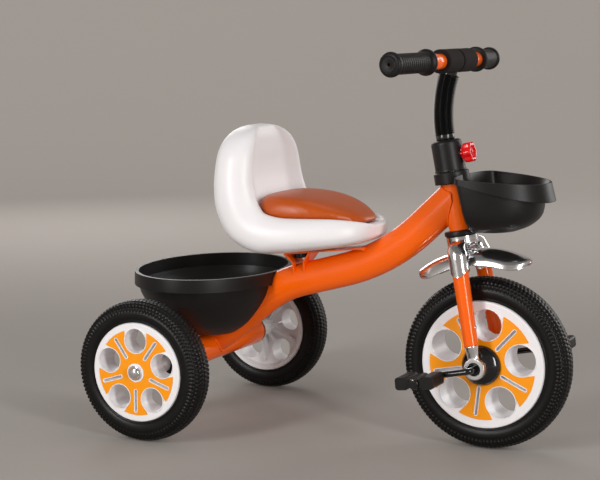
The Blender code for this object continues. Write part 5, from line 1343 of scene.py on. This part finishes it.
def front_ring(forward, sideways, level, drop=None, flare=0.0, segments=112):
    """A ring of the front bowl. Those of the rim slope forward and hang by drop, which says
    how far at the back and how much more at the tip."""
    ring = []
    lean = (FRONT_RIM - level) * math.tan(LEAN)
    for k in range(segments):
        turn = math.tau * (k + 0.5) / segments
        c = math.cos(turn)
        x, y = signed_power(c, FRONT_POWER), signed_power(math.sin(turn), FRONT_POWER)
        reach = FRONT_LENGTH * forward if c > 0 else FRONT_BACK * (0.6 + 0.4 * forward)
        tip = max(x, 0.0)
        spread = flare * tip
        z = level
        if drop:
            z = level - FRONT_SLOPE * (reach * x) - (drop[0] + drop[1] * tip)
        ring.append(ahead(FRONT_CENTRE + lean + (reach + spread) * x, z,
                          (FRONT_HALF_WIDTH * sideways + spread * 0.5) * y))
    return ring


def build_front_basket():
    """A thin bowl with a deep turned-down lip, joined to the ring round the head tube's top."""
    wall, rim, floor = BASKET_WALL, FRONT_RIM, FRONT_FLOOR
    bowl_top = rim - FRONT_LIP - 0.006
    lip, thin, flat = (FRONT_LIP, 0.018), (wall, 0.0), (0.0, 0.0)
    share_x = wall / FRONT_LENGTH
    share_y = wall / FRONT_HALF_WIDTH
    outer = [front_ring(0.30, 0.50, floor + 0.0002)]
    inner = [front_ring(0.30 - share_x, 0.50 - share_y, floor + wall + 0.0002)]
    for forward, sideways, rise in smoothed(FRONT_CURVE, 5):
        level = floor + (bowl_top - floor) * rise
        outer.append(front_ring(forward, sideways, level))
        inner.append(front_ring(forward - share_x, sideways - share_y,
                                level + wall * max(1.0 - rise * 1.2, 0.0)))
    inside = (1.0 - share_x, 1.0 - share_y, rim)
    edge = [front_ring(*inside, flat), front_ring(1.0, 1.0, rim, flat),
            front_ring(1.0, 1.0, rim, lip, 0.007), front_ring(*inside, lip, 0.007),
            front_ring(*inside, thin)]
    low, top, outside = HEAD_TOP + TOUCH, RING_TOP, RING_RADIUS
    ring = turned([(0.0, low), (outside - 0.0008, low), (outside, low + 0.0008),
                   (outside, top - 0.0012), (outside - 0.0012, top), (0.0, top)], STEERING, 96)
    basket = shaped(lofted(inner + edge + outer[::-1]), joins=[ring],
                    cuts=[cylinder(RING_BORE, low - 0.01, top + 0.01, STEERING, 72)],
                    bevel=0.0007, segments=2, angle=42.0)
    piece("front_tub", basket, "frame", "black_plastic", "front_basket")


# Nodes of the frame that stay, with softened edges
for entry in frame["record"]["subparts"]:
    node = frame["nodes"][entry["node"]]
    node.data.materials.clear()
    node.data.materials.append(LOOKS[entry["material_slot"]])
for name in ("seat_bracket", "seat_runner", "seat_knob", "seat_bolt", "mudguard_bolt",
             "rear_axle_plug_right", "rear_axle_plug_left"):
    modified(frame["nodes"][name], "soft_edge", "BEVEL", width=0.0005, segments=2,
             limit_method="ANGLE", angle_limit=math.radians(40.0))

build_front_wheel()
build_rear_wheels()
build_frame_tubes()
build_steering()
build_fork()
build_mudguard()
build_cranks()
build_handlebar()
build_seat()
build_cushion()
build_rear_basket()
build_front_basket()

# Camera at the photograph's viewing angle
camera_data = bpy.data.cameras.new("camera")
camera_data.lens = 96.56
camera_data.sensor_width = 36.0
camera = added("camera", camera_data)
view = Matrix(((0.892810, 0.450413, 0.004171), (-0.066229, 0.122108, 0.990305),
               (0.445537, -0.884431, 0.138850))).transposed().to_4x4()
view.translation = Vector((0.99781, -2.14776, 0.61905))
camera.matrix_world = view
bpy.context.scene.camera = camera

# Stage
STAGE_GREY = (0.38, 0.350, 0.325)
FLOOR_RADIUS = 3.2
SWEEP_RADIUS = 1.6
SWEEP_STEPS = 12
WALL_TOP = 4.5


def paint_stage(colour):
    """A matt grey with a faint glow of its own that grows away from the middle of the floor."""
    made, shader, add, link = material_tools("stage_grey")
    set_sockets(shader, {"Base Color": (*colour, 1.0), "Roughness": 0.9,
                         "Specular IOR Level": 0.1,
                         "Emission Color": (*[c / colour[0] for c in colour], 1.0)})
    place = add("TexCoord", {})
    away = add("VectorMath", {}, operation="LENGTH")
    link(place, "Object", away, 0)
    glow = add("MapRange", {"From Min": 0.8, "From Max": 3.3, "To Min": 0.02, "To Max": 0.18},
               interpolation_type="SMOOTHSTEP")
    link(away, "Value", glow, "Value")
    link(glow, "Result", shader, "Emission Strength")
    return made


def build_stage():
    """A floor that sweeps up into a round wall on every side."""
    profile = [(0.02, 0.0), (FLOOR_RADIUS, 0.0)]
    for k in range(1, SWEEP_STEPS + 1):
        turn = math.pi / 2 * k / SWEEP_STEPS
        profile.append((FLOOR_RADIUS + SWEEP_RADIUS * math.sin(turn),
                        SWEEP_RADIUS - SWEEP_RADIUS * math.cos(turn)))
    profile.append((FLOOR_RADIUS + SWEEP_RADIUS, WALL_TOP))
    mesh = lofted(turned_rings(profile, Matrix.Identity(4), 96), caps=(0,))
    mesh.shade_smooth()
    mesh.materials.append(paint_stage(STAGE_GREY))
    made = added("stage", mesh)


def softbox(name, place, size, power):
    """A soft lamp that faces the middle of the part."""
    data = bpy.data.lights.new(name, "AREA")
    data.shape = "RECTANGLE"
    data.size, data.size_y = size
    data.energy = power
    made = added(name, data)
    made.matrix_world = placed(Vector(place), Vector(place) - Vector((0.0, 0.0, 0.25)), UP)


build_stage()
softbox("key", (-0.9, -2.7, 1.2), (0.5, 1.8), 47.0)
softbox("fill", (2.7, -1.5, 1.0), (0.45, 1.9), 49.0)
softbox("top", (0.2, 0.6, 2.8), (1.6, 1.2), 6.0)
softbox("back", (-1.8, 1.8, 1.4), (1.0, 1.4), 14.0)
softbox("side", (1.4, 2.6, 1.2), (1.0, 1.6), 20.0)

world = bpy.data.worlds.new("studio")
world.use_nodes = True
set_sockets(world.node_tree.nodes["Background"],
            {"Color": (1.0, 0.98, 0.96, 1.0), "Strength": 0.16})
bpy.context.scene.world = world
bpy.context.scene.view_settings.view_transform = "Standard"
